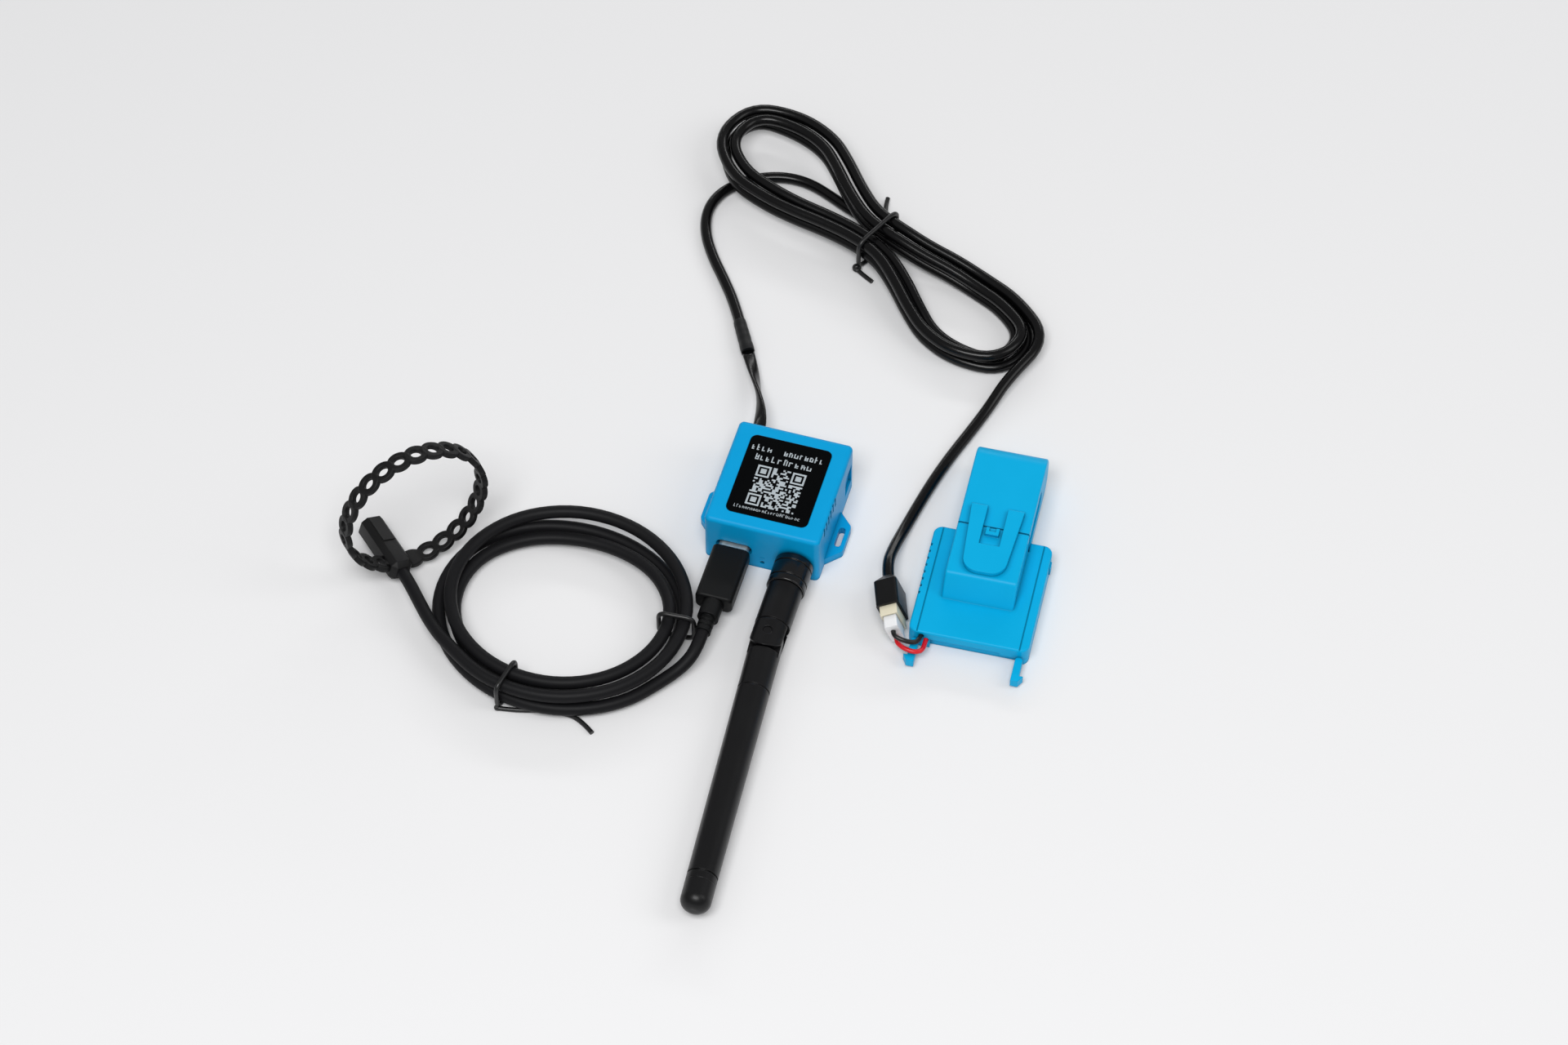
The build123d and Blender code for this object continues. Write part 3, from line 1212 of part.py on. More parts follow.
# Latch over the split
latch_low = clamp_height + fit
latch_high = latch_low + latch_thickness
root_radius = latch_thickness / 2
latch_root_v = latch_top - root_radius
latch_outline = Polyline((-latch_tab_half_width, latch_bottom), (latch_tab_half_width, latch_bottom),
                         (latch_root_half_width, latch_root_v), (-latch_root_half_width, latch_root_v),
                         close=True)
latch = Pos(0, 0, latch_low) * extrude(make_face(latch_outline), latch_thickness)
latch = fillet(latch.edges().filter_by(Axis.Z).sort_by(Axis.Y)[:2], latch_corner_radius)
inner_edge = latch_arm_centre - latch_arm_width
latch -= block((-inner_edge, inner_edge), (latch_window_low, latch_top + overrun),
               (latch_low - overrun, latch_high + overrun))
for side in (-1, 1):
    ends = sorted((side * inner_edge, side * latch_root_half_width))
    latch += rod_x(latch_root_v, latch_low + root_radius, ends, latch_thickness)
save(clamp_frame * latch, "jaw_latch")


# Snap arms at the lower edge
def snap_arm(side):
    root_v = clamp_front_edge - fit - snap_arm_width / 2
    u = side * snap_arm_u
    arm = rod_z(u, root_v, (snap_arm_low, snap_arm_high), snap_arm_width)
    arm += block((u - snap_arm_width / 2, u + snap_arm_width / 2), (root_v - snap_arm_length, root_v),
                 (snap_arm_low, snap_arm_high))
    tip_v = root_v - snap_arm_length
    barb = Polyline((u, tip_v), (u + side * snap_arm_width / 2, tip_v),
                    (u + side * (snap_arm_width / 2 + snap_barb_reach), tip_v + snap_barb_length),
                    (u, tip_v + snap_barb_length), close=True)
    return arm + Pos(0, 0, snap_arm_low) * extrude(make_face(barb), snap_arm_high - snap_arm_low)


save(clamp_frame * snap_arm(-1), "snap_arm_left")
save(clamp_frame * snap_arm(1), "snap_arm_right")

# Wires from the plug into the clamp
def wire_points(level, entry, route):
    entry_u, entry_z = entry
    start = (socket_frame * Pos(jst_front, 0, level)).position
    outside = (clamp_frame * Pos(entry_u, clamp_front_edge - wire_out_length, entry_z)).position
    inside = (clamp_frame * Pos(entry_u, lip_wall, entry_z)).position
    lead_out = (socket_frame * Pos(jst_front + wire_diameter, 0, level)).position
    return [tuple(start), tuple(lead_out)] + route + [tuple(outside), tuple(inside)]


black_points = wire_points(jst_wire_pitch / 2, black_entry, black_route)
red_points = wire_points(-jst_wire_pitch / 2, red_entry, red_route)
save(cord_tube(black_points, wire_diameter, "black_wire"), "black_wire")
save(cord_tube(red_points, wire_diameter, "red_wire"), "red_wire")

# Strap hoop: links on a circle, one of them blind, and the probe block on it
hoop_turn = math.radians(hoop_heading)
hoop_u = Vector(math.cos(hoop_turn), math.sin(hoop_turn), 0)
tilt = math.radians(hoop_tilt)
hoop_n = Vector(math.sin(hoop_turn) * math.cos(tilt), -math.cos(hoop_turn) * math.cos(tilt), math.sin(tilt))
hoop_frame = Plane(origin=hoop_centre, x_dir=hoop_u, z_dir=hoop_n).location
link_step = 360 / link_count
inner_face = hoop_radius - strap_thickness / 2


def link(angle, with_hole):
    plane = Plane(origin=(inner_face, 0, 0), x_dir=(0, 1, 0), z_dir=(1, 0, 0))
    disc = extrude(plane * Ellipse(link_length / 2, link_width / 2), strap_thickness)
    if with_hole:
        hole = RectangleRounded(link_hole_length, link_hole_width, link_hole_radius)
        disc -= extrude(plane * hole, strap_thickness)
    return Rot(0, 0, angle) * disc


links = [link(block_angle + index * link_step, index > 1) for index in range(link_count)]
strap = links[0].fuse(*links[1:])
save(hoop_frame * strap, "probe_strap")

block_frame = hoop_frame * Rot(0, 0, block_angle)
block_front = block_lead_reach
block_back = block_lead_reach - block_length
probe = block((hoop_radius - block_radial / 2, hoop_radius + block_radial / 2),
              (-block_tangential / 2, block_tangential / 2), (block_back, block_front))
probe = fillet(probe.edges(), block_edge_radius)
slot_half = link_width / 2 + block_slot_gap
link_tip = math.hypot(inner_face + strap_thickness, link_length / 2)
slot = extrude(Circle(link_tip + block_slot_gap) - Circle(
    inner_face * math.cos(math.pi / link_count) - block_slot_gap), 2 * slot_half)
probe -= Pos(0, 0, -slot_half) * slot
sensor_low = block_back + sensor_end_gap
sensor_face = hoop_radius - block_radial / 2
probe -= block((sensor_face - overrun, sensor_face + sensor_thickness / 2),
               (-sensor_width / 2 - fit, sensor_width / 2 + fit),
               (sensor_low - fit, sensor_low + sensor_length + fit))
save(block_frame * probe, "probe_block")
sensor = block((sensor_face - sensor_thickness / 2, sensor_face + sensor_thickness / 2),
               (-sensor_width / 2, sensor_width / 2), (sensor_low, sensor_low + sensor_length))
save(block_frame * sensor, "probe_sensor")

lead_end = (block_frame * Pos(hoop_radius, 0, block_front)).position
lead_out = (block_frame * Pos(hoop_radius, 0, block_front + lead_diameter)).position
probe_points = [tuple(coil_exit)] + probe_lead_route + [tuple(lead_out), tuple(lead_end)]
print("probe lead's end", lead_end, "and its way out", lead_out)
save(cord_tube(probe_points, lead_diameter, "lead_at_probe"), "lead_at_probe")
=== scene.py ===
# %% [markdown]
# A small energy monitor lies on a pale table: a blue hub with a folding antenna,
# a blue current clamp on a long black cable that is folded into a hank, and a
# probe with a strap on a coiled lead. Its hard parts come ready modelled from
# CAD, as one fixed frame, and everything here is built around them in metres.

# %% Load the frame
import bpy
import bmesh
import math
import random
from mathutils import Matrix, Vector


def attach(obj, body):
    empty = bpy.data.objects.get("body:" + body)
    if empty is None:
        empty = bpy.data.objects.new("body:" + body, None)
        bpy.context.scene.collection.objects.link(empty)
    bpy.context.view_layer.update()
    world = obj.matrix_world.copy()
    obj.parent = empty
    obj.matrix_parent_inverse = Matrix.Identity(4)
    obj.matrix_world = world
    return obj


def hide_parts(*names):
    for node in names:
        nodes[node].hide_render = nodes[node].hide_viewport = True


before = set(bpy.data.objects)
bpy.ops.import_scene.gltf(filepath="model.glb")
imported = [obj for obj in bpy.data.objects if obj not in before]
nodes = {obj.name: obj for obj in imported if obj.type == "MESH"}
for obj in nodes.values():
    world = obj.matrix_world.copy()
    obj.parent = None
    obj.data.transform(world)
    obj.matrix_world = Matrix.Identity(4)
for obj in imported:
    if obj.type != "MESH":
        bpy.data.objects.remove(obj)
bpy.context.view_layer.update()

MM = 0.001

# %% [markdown]
# The camera comes first, because every proportion is judged through it. Its
# place was worked out from the hub's corners: it looks down from the front, a
# little from the right, through a long lens, so lines hardly converge.

# %% Camera
CAMERA_PLACE = Vector((174.87, -594.97, 849.07)) * MM
CAMERA_TARGET = Vector((1.64, -1.02, 0.0)) * MM
SENSOR_WIDTH = 36.0
IMAGE_WIDTH = 1920.0
FOCAL_PIXELS = 4740.0

camera_data = bpy.data.cameras.new("camera")
camera_data.sensor_fit = "HORIZONTAL"
camera_data.sensor_width = SENSOR_WIDTH
camera_data.lens = FOCAL_PIXELS / IMAGE_WIDTH * SENSOR_WIDTH
camera_data.clip_start = 0.05
camera_data.clip_end = 20.0
camera = bpy.data.objects.new("camera", camera_data)
bpy.context.scene.collection.objects.link(camera)
camera.location = CAMERA_PLACE
camera.rotation_euler = (CAMERA_TARGET - CAMERA_PLACE).to_track_quat("-Z", "Y").to_euler()
bpy.context.scene.camera = camera
bpy.context.scene.view_settings.view_transform = "Standard"
print("lens in mm:", round(camera_data.lens, 1))

# %% [markdown]
# A material is a small graph of shader nodes. One function adds a node with its
# settings and its links, and a second turns a colour as a painter writes it,
# in sRGB hex, into the linear numbers that a shader works in. A Mix node keeps
# its colour sockets under the numbers 6 and 7 and gives its colour under 2.


# %% Nodes and colours
MIX_FIRST, MIX_SECOND, MIX_RESULT = 6, 7, 2


def linear(hex_colour):
    channels = [int(hex_colour[i:i + 2], 16) / 255 for i in (0, 2, 4)]
    made = [c / 12.92 if c <= 0.04045 else ((c + 0.055) / 1.055) ** 2.4 for c in channels]
    return (*made, 1.0)


def node(tree, kind, inputs=(), **settings):
    made = tree.nodes.new(kind)
    for name, value in settings.items():
        setattr(made, name, value)
    for name, value in dict(inputs).items():
        socket = made.inputs[name]
        if isinstance(value, bpy.types.NodeSocket):
            tree.links.new(value, socket)
        else:
            socket.default_value = value
    return made


def new_material(name):
    material = bpy.data.materials.new(name)
    material.use_nodes = True
    material.node_tree.nodes.clear()
    return material, material.node_tree


def finish_material(material, shader):
    node(material.node_tree, "ShaderNodeOutputMaterial", {"Surface": shader.outputs[0]})
    return material


print("E0E0E0 in linear numbers:", [round(channel, 3) for channel in linear("E0E0E0")])

# %% [markdown]
# The monitor lies on a seamless white sheet. One large plane takes its soft
# shadows. Half a metre out, beyond the lamps' reach, it fades to a plain pale
# grey, but only for the camera and for rays that mirror or pass through, so
# the backdrop stays pale from a low angle and adds no light.

# %% Floor
FLOOR_SIZE = 12.0
FLOOR_DROP = 0.02 * MM
BACKDROP = "E9E9EA"
FADE_FROM, FADE_TO = 0.5, 1.8

floor_material, tree = new_material("white_paper_sheet")
paper = node(tree, "ShaderNodeBsdfPrincipled", {
    "Base Color": linear("EDEDEE"), "Roughness": 0.9, "Specular IOR Level": 0.1})
from_middle = node(tree, "ShaderNodeTexCoord")
distance = node(tree, "ShaderNodeVectorMath", {0: from_middle.outputs["Object"]},
                operation="LENGTH")
far = node(tree, "ShaderNodeMapRange", {
    "Value": distance.outputs["Value"], "From Min": FADE_FROM, "From Max": FADE_TO})
ray = node(tree, "ShaderNodeLightPath")
mirrored = node(tree, "ShaderNodeMath", {
    0: ray.outputs["Is Glossy Ray"], 1: ray.outputs["Is Transmission Ray"]}, operation="MAXIMUM")
seen = node(tree, "ShaderNodeMath", {0: ray.outputs["Is Camera Ray"], 1: mirrored.outputs[0]},
            operation="MAXIMUM")
seen_far = node(tree, "ShaderNodeMath", {0: far.outputs[0], 1: seen.outputs[0]},
                operation="MULTIPLY")
backdrop = node(tree, "ShaderNodeEmission", {"Color": linear(BACKDROP), "Strength": 1.0})
finish_material(floor_material, node(tree, "ShaderNodeMixShader", {
    0: seen_far.outputs[0], 1: paper.outputs[0], 2: backdrop.outputs[0]}))
bpy.ops.object.select_all(action="DESELECT")
bpy.ops.mesh.primitive_plane_add(size=FLOOR_SIZE, location=(0, 0, 0))
floor = bpy.context.object
floor.name = "floor_sheet"
for corner in floor.data.vertices:
    corner.co.z = -FLOOR_DROP
floor.data.materials.append(floor_material)
print("floor in metres:", FLOOR_SIZE, "faded from", FADE_FROM, "to", FADE_TO)

# %% [markdown]
# The world around is an even white of a third of full strength. It fills the
# shadows, and metals mirror it wherever no lamp stands.

# %% World
WORLD_LEVEL = 0.31

world = bpy.data.worlds.new("pale_studio")
bpy.context.scene.world = world
world.use_nodes = True
world.node_tree.nodes.clear()
sky = node(world.node_tree, "ShaderNodeBackground", {
    "Color": linear("FFFFFF"), "Strength": WORLD_LEVEL})
node(world.node_tree, "ShaderNodeOutputWorld", {"Surface": sky.outputs[0]})
print("world level:", WORLD_LEVEL)

# %% [markdown]
# Soft boxes light it. The key is wide and stands before and above the monitor,
# so shadows stay soft and fall behind. A weak box fills the right side. The low
# strip behind gives each round cord its thin bright line. Nothing stands where
# the flat black label would mirror it.


# %% Lamps
def soft_box(name, place, size, watts):
    data = bpy.data.lights.new(name, "AREA")
    data.shape = "RECTANGLE"
    data.size, data.size_y = size
    data.energy = watts
    lamp = bpy.data.objects.new(name, data)
    bpy.context.scene.collection.objects.link(lamp)
    lamp.location = place
    lamp.rotation_euler = (-Vector(place)).to_track_quat("-Z", "Y").to_euler()
    return lamp


lamps = [soft_box("key_box", (0.05, -0.62, 1.2), (0.8, 0.55), 12.0),
         soft_box("side_box", (1.0, 0.1, 0.9), (0.5, 0.8), 2.5),
         soft_box("back_strip", (-0.1, 1.1, 0.55), (1.4, 0.1), 3.0)]
print("lamps:", [(lamp.name, lamp.data.energy) for lamp in lamps])

# %% [markdown]
# A cord is a curve: one NURBS spline whose control points are the route, with a
# round bevel for its thickness. The spline is smooth between the points, as a
# real cord is, and its ends reach the first and the last point.


# %% Cord curves
CORD_ROUND_STEPS = 6
CORD_LINE_STEPS = 6
SPLINE_ORDER = 3


def cord_curve(name, points, diameter, material):
    data = bpy.data.curves.new(name, "CURVE")
    data.dimensions = "3D"
    data.bevel_depth = diameter / 2 * MM
    data.bevel_resolution = CORD_ROUND_STEPS
    data.use_fill_caps = True
    data.resolution_u = CORD_LINE_STEPS
    spline = data.splines.new("NURBS")
    spline.points.add(len(points) - 1)
    for control, point in zip(spline.points, points):
        control.co = (*(Vector(point) * MM), 1.0)
    spline.order_u = SPLINE_ORDER
    spline.use_endpoint_u = True
    curve = bpy.data.objects.new(name, data)
    bpy.context.scene.collection.objects.link(curve)
    data.materials.append(material)
    return curve


def curve_line(curve):
    bare = curve.data.copy()
    bare.bevel_depth = 0.0
    holder = bpy.data.objects.new("bare_line", bare)
    bpy.context.scene.collection.objects.link(holder)
    mesh = bpy.data.meshes.new_from_object(holder)
    line = [vertex.co.copy() for vertex in mesh.vertices]
    bpy.data.objects.remove(holder)
    return line


def line_length(line):
    return sum((b - a).length for a, b in zip(line, line[1:]))


print("steps round a cord's half and between its points:", CORD_ROUND_STEPS, CORD_LINE_STEPS)

# %% [markdown]
# Every black here is another material. The cable has a drawn PVC jacket, whose
# gloss shows as a thin bright line. The lead's jacket is softer and duller.
# Both get a faint grain, made coarser than the real one so that it shows.


# %% Jackets
JACKET_RELIEF = 0.05
JACKET_SPREAD = 0.05


def jacket(name, colour, roughness, grain_mm, relief, shine):
    material, tree = new_material(name)
    place = node(tree, "ShaderNodeTexCoord")
    grain = node(tree, "ShaderNodeTexNoise", {
        "Vector": place.outputs["Object"], "Scale": 1 / (grain_mm * MM), "Detail": 3.0})
    bump = node(tree, "ShaderNodeBump", {
        "Height": grain.outputs["Fac"], "Strength": relief, "Distance": JACKET_RELIEF * MM})
    rough = node(tree, "ShaderNodeMapRange", {
        "Value": grain.outputs["Fac"], "To Min": roughness - JACKET_SPREAD,
        "To Max": roughness + JACKET_SPREAD})
    skin = node(tree, "ShaderNodeBsdfPrincipled", {
        "Base Color": linear(colour), "Roughness": rough.outputs[0], "Normal": bump.outputs[0],
        "Specular IOR Level": shine})
    return finish_material(material, skin)


drawn_pvc = jacket("drawn_pvc_jacket", "070708", 0.22, 1.2, 0.03, shine=0.28)
soft_rubber = jacket("soft_rubber_jacket", "151517", 0.5, 0.8, 0.1, shine=0.14)
print("jackets:", drawn_pvc.name, soft_rubber.name)

# %% [markdown]
# The probe's lead leaves the plug, winds round in a coil of three turns, and
# goes on to the probe. The coil is a formula: a low spiral inwards, a climb in
# half a turn, and a spiral outwards on top of it. The low turns sag inwards on
# the far side, so that the coil opens there. Its control points stand a little
# outside the turn, because this spline touches the sides between them.

# %% The probe's lead
LEAD_DIAMETER = 3.5
COIL_CENTRE = (-45.8, -46.5)
COIL_INNER = (29.0, 26.0)
COIL_LANE = 4.3
COIL_FLOOR = 3.1
COIL_LEVEL = 4.0
COIL_START = -35.0
CLIMB_DIP = -0.15
COIL_SAG = 0.9
LOW_QUARTERS, CLIMB_QUARTERS, HIGH_QUARTERS = 6, 2, 5
COIL_STEP = 30.0
PLUG_LEAD = [(-7.6, -46.1, 6.6), (-7.6, -50.4, 6.5), (-8.9, -54.9, 5.0), (-12.5, -59.6, 3.1)]
PROBE_LEAD = [(-71.9, -68.1, 7.0), (-77.7, -62.9, 5.9), (-82.8, -57.2, 5.3),
              (-87.921, -51.402, 5.196), (-90.477, -49.018, 5.007)]


def coil_point(angle, lane, height, outward=1.0):
    turn = math.radians(angle)
    across = (COIL_INNER[0] + COIL_LANE * lane) * outward
    along = (COIL_INNER[1] + COIL_LANE * lane) * outward
    return Vector((COIL_CENTRE[0] + across * math.cos(turn),
                   COIL_CENTRE[1] + along * math.sin(turn), height))


def coil_turns():
    points = []
    steps = round((LOW_QUARTERS + CLIMB_QUARTERS + HIGH_QUARTERS) * 90 / COIL_STEP)
    outward = 1 / math.cos(math.radians(COIL_STEP / 2))
    for step in range(steps):
        quarter = (step + 0.5) * COIL_STEP / 90
        climb = min(max((quarter - LOW_QUARTERS) / CLIMB_QUARTERS, 0.0), 1.0)
        if climb == 0.0:
            lane = (LOW_QUARTERS - quarter) / 4
        elif climb < 1.0:
            lane = CLIMB_DIP * math.sin(math.pi * climb)
        else:
            lane = (quarter - LOW_QUARTERS - CLIMB_QUARTERS) / 4
        if climb < 1.0:
            lane -= COIL_SAG * max(math.sin(math.radians(COIL_START - 90 * quarter)), 0.0) ** 2
        height = COIL_FLOOR + COIL_LEVEL * climb * climb * (3 - 2 * climb)
        points.append(coil_point(COIL_START - 90 * quarter, lane, height, outward))
    return points


lead = cord_curve("probe_lead_cord", PLUG_LEAD + coil_turns() + PROBE_LEAD, LEAD_DIAMETER,
                  soft_rubber)
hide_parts("lead_at_plug", "lead_coil", "lead_at_probe")
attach(lead, "probe_lead")
LEAD_LENGTH = line_length(curve_line(lead))
print("lead in mm:", round(LEAD_LENGTH / MM, 1))

# %% [markdown]
# The clamp's cable is laid in a hank: loops drawn in at the waist, where a tie
# holds them. Each station of a loop gives a place and a heading, and two
# control points go between two stations, one on each heading's line, so that
# the spline runs through the stations without a kink. A pass names a station,
# a lane from the inner side and a level, and the strands are laid in that order.

# %% The hank
CABLE_DIAMETER = 3.2
HANK_CENTRE = (0.0, 97.0)
HANK_HEADING = math.radians(154.8)
HANK_LANE = 3.9
HANK_LEVEL = 3.65
HANK_FLOOR = 1.6
HANK_START_HEIGHT = 3.0
HANK_EXIT = (1.9, 5.25)
HANK_STATIONS = {
    "waist_b": ((0.0, 7.05), (0.0, 1.0), 1.0),
    "slope_br": ((-18.0, 8.95), (0.19, 0.98), 0.5),
    "right_b": ((-36.0, 10.9), (0.0, 1.0), 0.0),
    "right_end": ((-55.4, -2.5), (-1.0, 0.0), 0.0),
    "right_a": ((-36.0, -15.4), (0.0, -1.0), 0.0),
    "slope_ar": ((-18.0, -10.0), (0.447, -0.894), 0.5),
    "waist_a": ((0.0, -4.65), (0.0, -1.0), 1.0),
    "slope_al": ((19.0, -7.4), (-0.243, -0.97), 1.0),
    "left_a": ((38.0, -10.1), (0.0, -1.0), 1.0),
    "left_end": ((58.9, 6.0), (1.0, 0.0), 1.0),
    "left_b": ((38.0, 20.1), (0.0, 1.0), 1.0),
    "slope_bl": ((19.0, 13.5), (-0.482, 0.876), 1.0),
}
HANK_PASSES = [
    ("right_b", 1, 0), ("right_end", 1, 0), ("right_a", 1, 0), ("slope_ar", 1, 0),
    ("waist_a", 1, 0), ("slope_al", 1, 0), ("left_a", 1, 0), ("left_end", 0.5, 0),
    ("left_b", 0, 0), ("slope_bl", 0, 0), ("waist_b", 0, 0), ("slope_br", 0, 0),
    ("right_b", 0, 0), ("right_end", 0, 0), ("right_a", 0, 0), ("slope_ar", 0, 0.3),
    ("waist_a", 0, 0.5), ("slope_al", 0, 0.75), ("left_a", 0, 1), ("left_end", 0, 1),
    ("left_b", 0, 1), ("slope_bl", 0, 1), ("waist_b", 0, 1), ("slope_br", 0, 1),
    ("right_b", 0, 1), ("right_end", 0.5, 1), ("right_a", 1, 1), ("slope_ar", 1, 1),
    ("waist_a", 1, 1), ("slope_al", 1, 1), ("left_a", 1, 1), ("left_end", 1, 1),
    ("left_b", 1, 1), ("slope_bl", 1, 1), ("waist_b", 1, 1), ("slope_br", 1, 1),
    ("right_b", 1, 1),
]
ALONG_HANK = Vector((math.cos(HANK_HEADING), math.sin(HANK_HEADING), 0))
ACROSS_HANK = Vector((math.sin(HANK_HEADING), -math.cos(HANK_HEADING), 0))
print("hank: named stations", len(HANK_STATIONS), "passes", len(HANK_PASSES))


# %% Control points of the hank
NEARLY_STRAIGHT = 1e-6


def hank_place(station, lane, level):
    (first, second), (normal_1, normal_2), lift = HANK_STATIONS[station]
    first += (lane - 1) * HANK_LANE * normal_1
    second += (lane - 1) * HANK_LANE * normal_2
    place = Vector((*HANK_CENTRE, HANK_FLOOR + HANK_LEVEL * (level + lift)))
    place += ALONG_HANK * first + ACROSS_HANK * second
    return place, (ACROSS_HANK * normal_1 - ALONG_HANK * normal_2).normalized()


def hank_run():
    start, start_way = hank_place("waist_b", 1, 0)
    start.z = HANK_START_HEIGHT
    slope, slope_way = hank_place("slope_br", 1, 0)
    slope.z = HANK_FLOOR
    end, end_way = hank_place("right_end", HANK_EXIT[0], 0)
    end.z = HANK_EXIT[1]
    level = [(start, start_way), (slope, slope_way)]
    level += [hank_place(*one_pass) for one_pass in HANK_PASSES]
    level.append((end, end_way))
    run = []
    for index, (place, way) in enumerate(level):
        before, after = level[max(index - 1, 0)][0], level[min(index + 1, len(level) - 1)][0]
        steepness = (after.z - before.z) / (after - before).to_2d().length
        if (place.z - before.z) * (after.z - place.z) <= 0:
            steepness = 0.0
        run.append((place, Vector((way.x, way.y, steepness)).normalized()))
    return run


def between_stations(start, start_way, end, end_way):
    chord = end - start
    spread = 2 * (1 - start_way.dot(end_way))
    along = chord.dot(start_way + end_way)
    if spread > NEARLY_STRAIGHT:
        reach = (-along + math.sqrt(along ** 2 + spread * chord.dot(chord))) / spread
    else:
        reach = chord.dot(chord) / (4 * chord.dot(end_way))
    return [start + start_way * reach, end - end_way * reach]


hank_points = []
stations = hank_run()
for (here, way), (there, next_way) in zip(stations, stations[1:]):
    hank_points += between_stations(here, way, there, next_way)
print("hank: stations", len(stations), "control points", len(hank_points))

# %% [markdown]
# One spline runs from the heat-shrink sleeve through the hank to the socket.

# %% The clamp's cable
SLEEVE_END = (-29.5, 61.2, 1.95)
NEAR_ROUTE = [SLEEVE_END, (-33.1, 67.8, 1.6), (-38.4, 75.2, 1.6), (-43.8, 82.2, 1.6),
              (-48.4, 90.0, 1.6), (-50.4, 98.0, 1.6), (-49.0, 105.2, 1.6), (-44.6, 110.8, 1.6),
              (-38.4, 115.0, 1.6), (-31.4, 117.0, 1.6), (-24.4, 116.4, 1.6),
              (-17.4, 113.4, 1.6), (-10.4, 109.6, 2.0), (-3.6, 106.4, 2.9)]
SOCKET_CENTRE = Vector((37.3, -21.7, 5.66))
SOCKET_HEADING = math.radians(-69.6)
SOCKET_ROLL = math.radians(19.0)
SOCKET_BACK = -7.0
FAR_LEAD_IN = 4.8
SOCKET_WAY = Vector((math.cos(SOCKET_HEADING), math.sin(SOCKET_HEADING), 0))
FAR_ROUTE = [(48.2, 60.9, 4.0), (45.4, 51.2, 1.8), (42.4, 41.2, 1.6), (39.4, 31.6, 1.6),
             (37.0, 22.0, 1.6), (35.2, 12.6, 1.6), (33.8, 3.8, 1.9), (33.0, -4.0, 3.8),
             SOCKET_CENTRE + SOCKET_WAY * (SOCKET_BACK - FAR_LEAD_IN),
             SOCKET_CENTRE + SOCKET_WAY * SOCKET_BACK]

cable = cord_curve("clamp_cable", NEAR_ROUTE + hank_points + FAR_ROUTE, CABLE_DIAMETER, drawn_pvc)
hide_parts("ct_cable_near", "ct_cable_hank", "ct_cable_far")
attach(cable, "hub")
CABLE_LENGTH = line_length(curve_line(cable))
print("cable in mm:", round(CABLE_LENGTH / MM, 1))

# %% [markdown]
# Between the hub and the sleeve the two cores run as a flat twin cord, which
# is twisted, so that it looks wide, then narrow, then wide again. A round bevel
# can't do that: a flat section, a little thinner at its waist, is carried along
# the route's line and turned on the way.

# %% The flat twin cord
TWIN_WIDTH, TWIN_THICKNESS = 3.5, 1.9
TWIN_SIDES = 16
TWIN_WAIST, WAIST_SHARPNESS = 0.16, 3
TWIN_START_TURN, TWIN_TWIST = math.radians(-50), math.radians(230)
TWIN_ROUTE = [(-12.0, 14.95, 8.0), (-12.0, 21.5, 8.0), (-13.4, 28.0, 7.0), (-16.4, 36.0, 4.8),
              (-20.5, 44.6, 3.0), (-24.0, 51.0, 2.6)]


def flat_cord(name, line, material):
    mesh = bmesh.new()
    rings = []
    for index, place in enumerate(line):
        way = (line[min(index + 1, len(line) - 1)] - line[max(index - 1, 0)]).normalized()
        side = way.cross(Vector((0, 0, 1))).normalized()
        up = side.cross(way)
        turn = TWIN_START_TURN + TWIN_TWIST * index / (len(line) - 1)
        wide = side * math.cos(turn) + up * math.sin(turn)
        thin = up * math.cos(turn) - side * math.sin(turn)
        ring = []
        for step in range(TWIN_SIDES):
            angle = 2 * math.pi * step / TWIN_SIDES
            waist = 1 - TWIN_WAIST * abs(math.sin(angle)) ** WAIST_SHARPNESS
            ring.append(mesh.verts.new(
                place + wide * (math.cos(angle) * TWIN_WIDTH / 2 * MM)
                + thin * (math.sin(angle) * waist * TWIN_THICKNESS / 2 * MM)))
        rings.append(ring)
    for one, other in zip(rings, rings[1:]):
        for step in range(TWIN_SIDES):
            following = (step + 1) % TWIN_SIDES
            mesh.faces.new((one[step], one[following], other[following], other[step]))
    mesh.faces.new(rings[0])
    mesh.faces.new(rings[-1])
    bmesh.ops.recalc_face_normals(mesh, faces=mesh.faces)
    data = bpy.data.meshes.new(name)
    mesh.to_mesh(data)
    mesh.free()
    data.materials.append(material)
    data.shade_smooth()
    cord = bpy.data.objects.new(name, data)
    bpy.context.scene.collection.objects.link(cord)
    return cord


twin_guide = cord_curve("twin_guide", TWIN_ROUTE, TWIN_THICKNESS, drawn_pvc)
twin_line = curve_line(twin_guide)
bpy.data.objects.remove(twin_guide)
twin = flat_cord("flat_twin_cord", twin_line, drawn_pvc)
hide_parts("cable_pair")
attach(twin, "hub")
print("twin cord in mm:", round(line_length(twin_line) / MM, 1))

# %% [markdown]
# Two thin wires bend from the plug into the clamp. They are shorter than a
# finger's width, so they are plain curves and not declared as free cords.

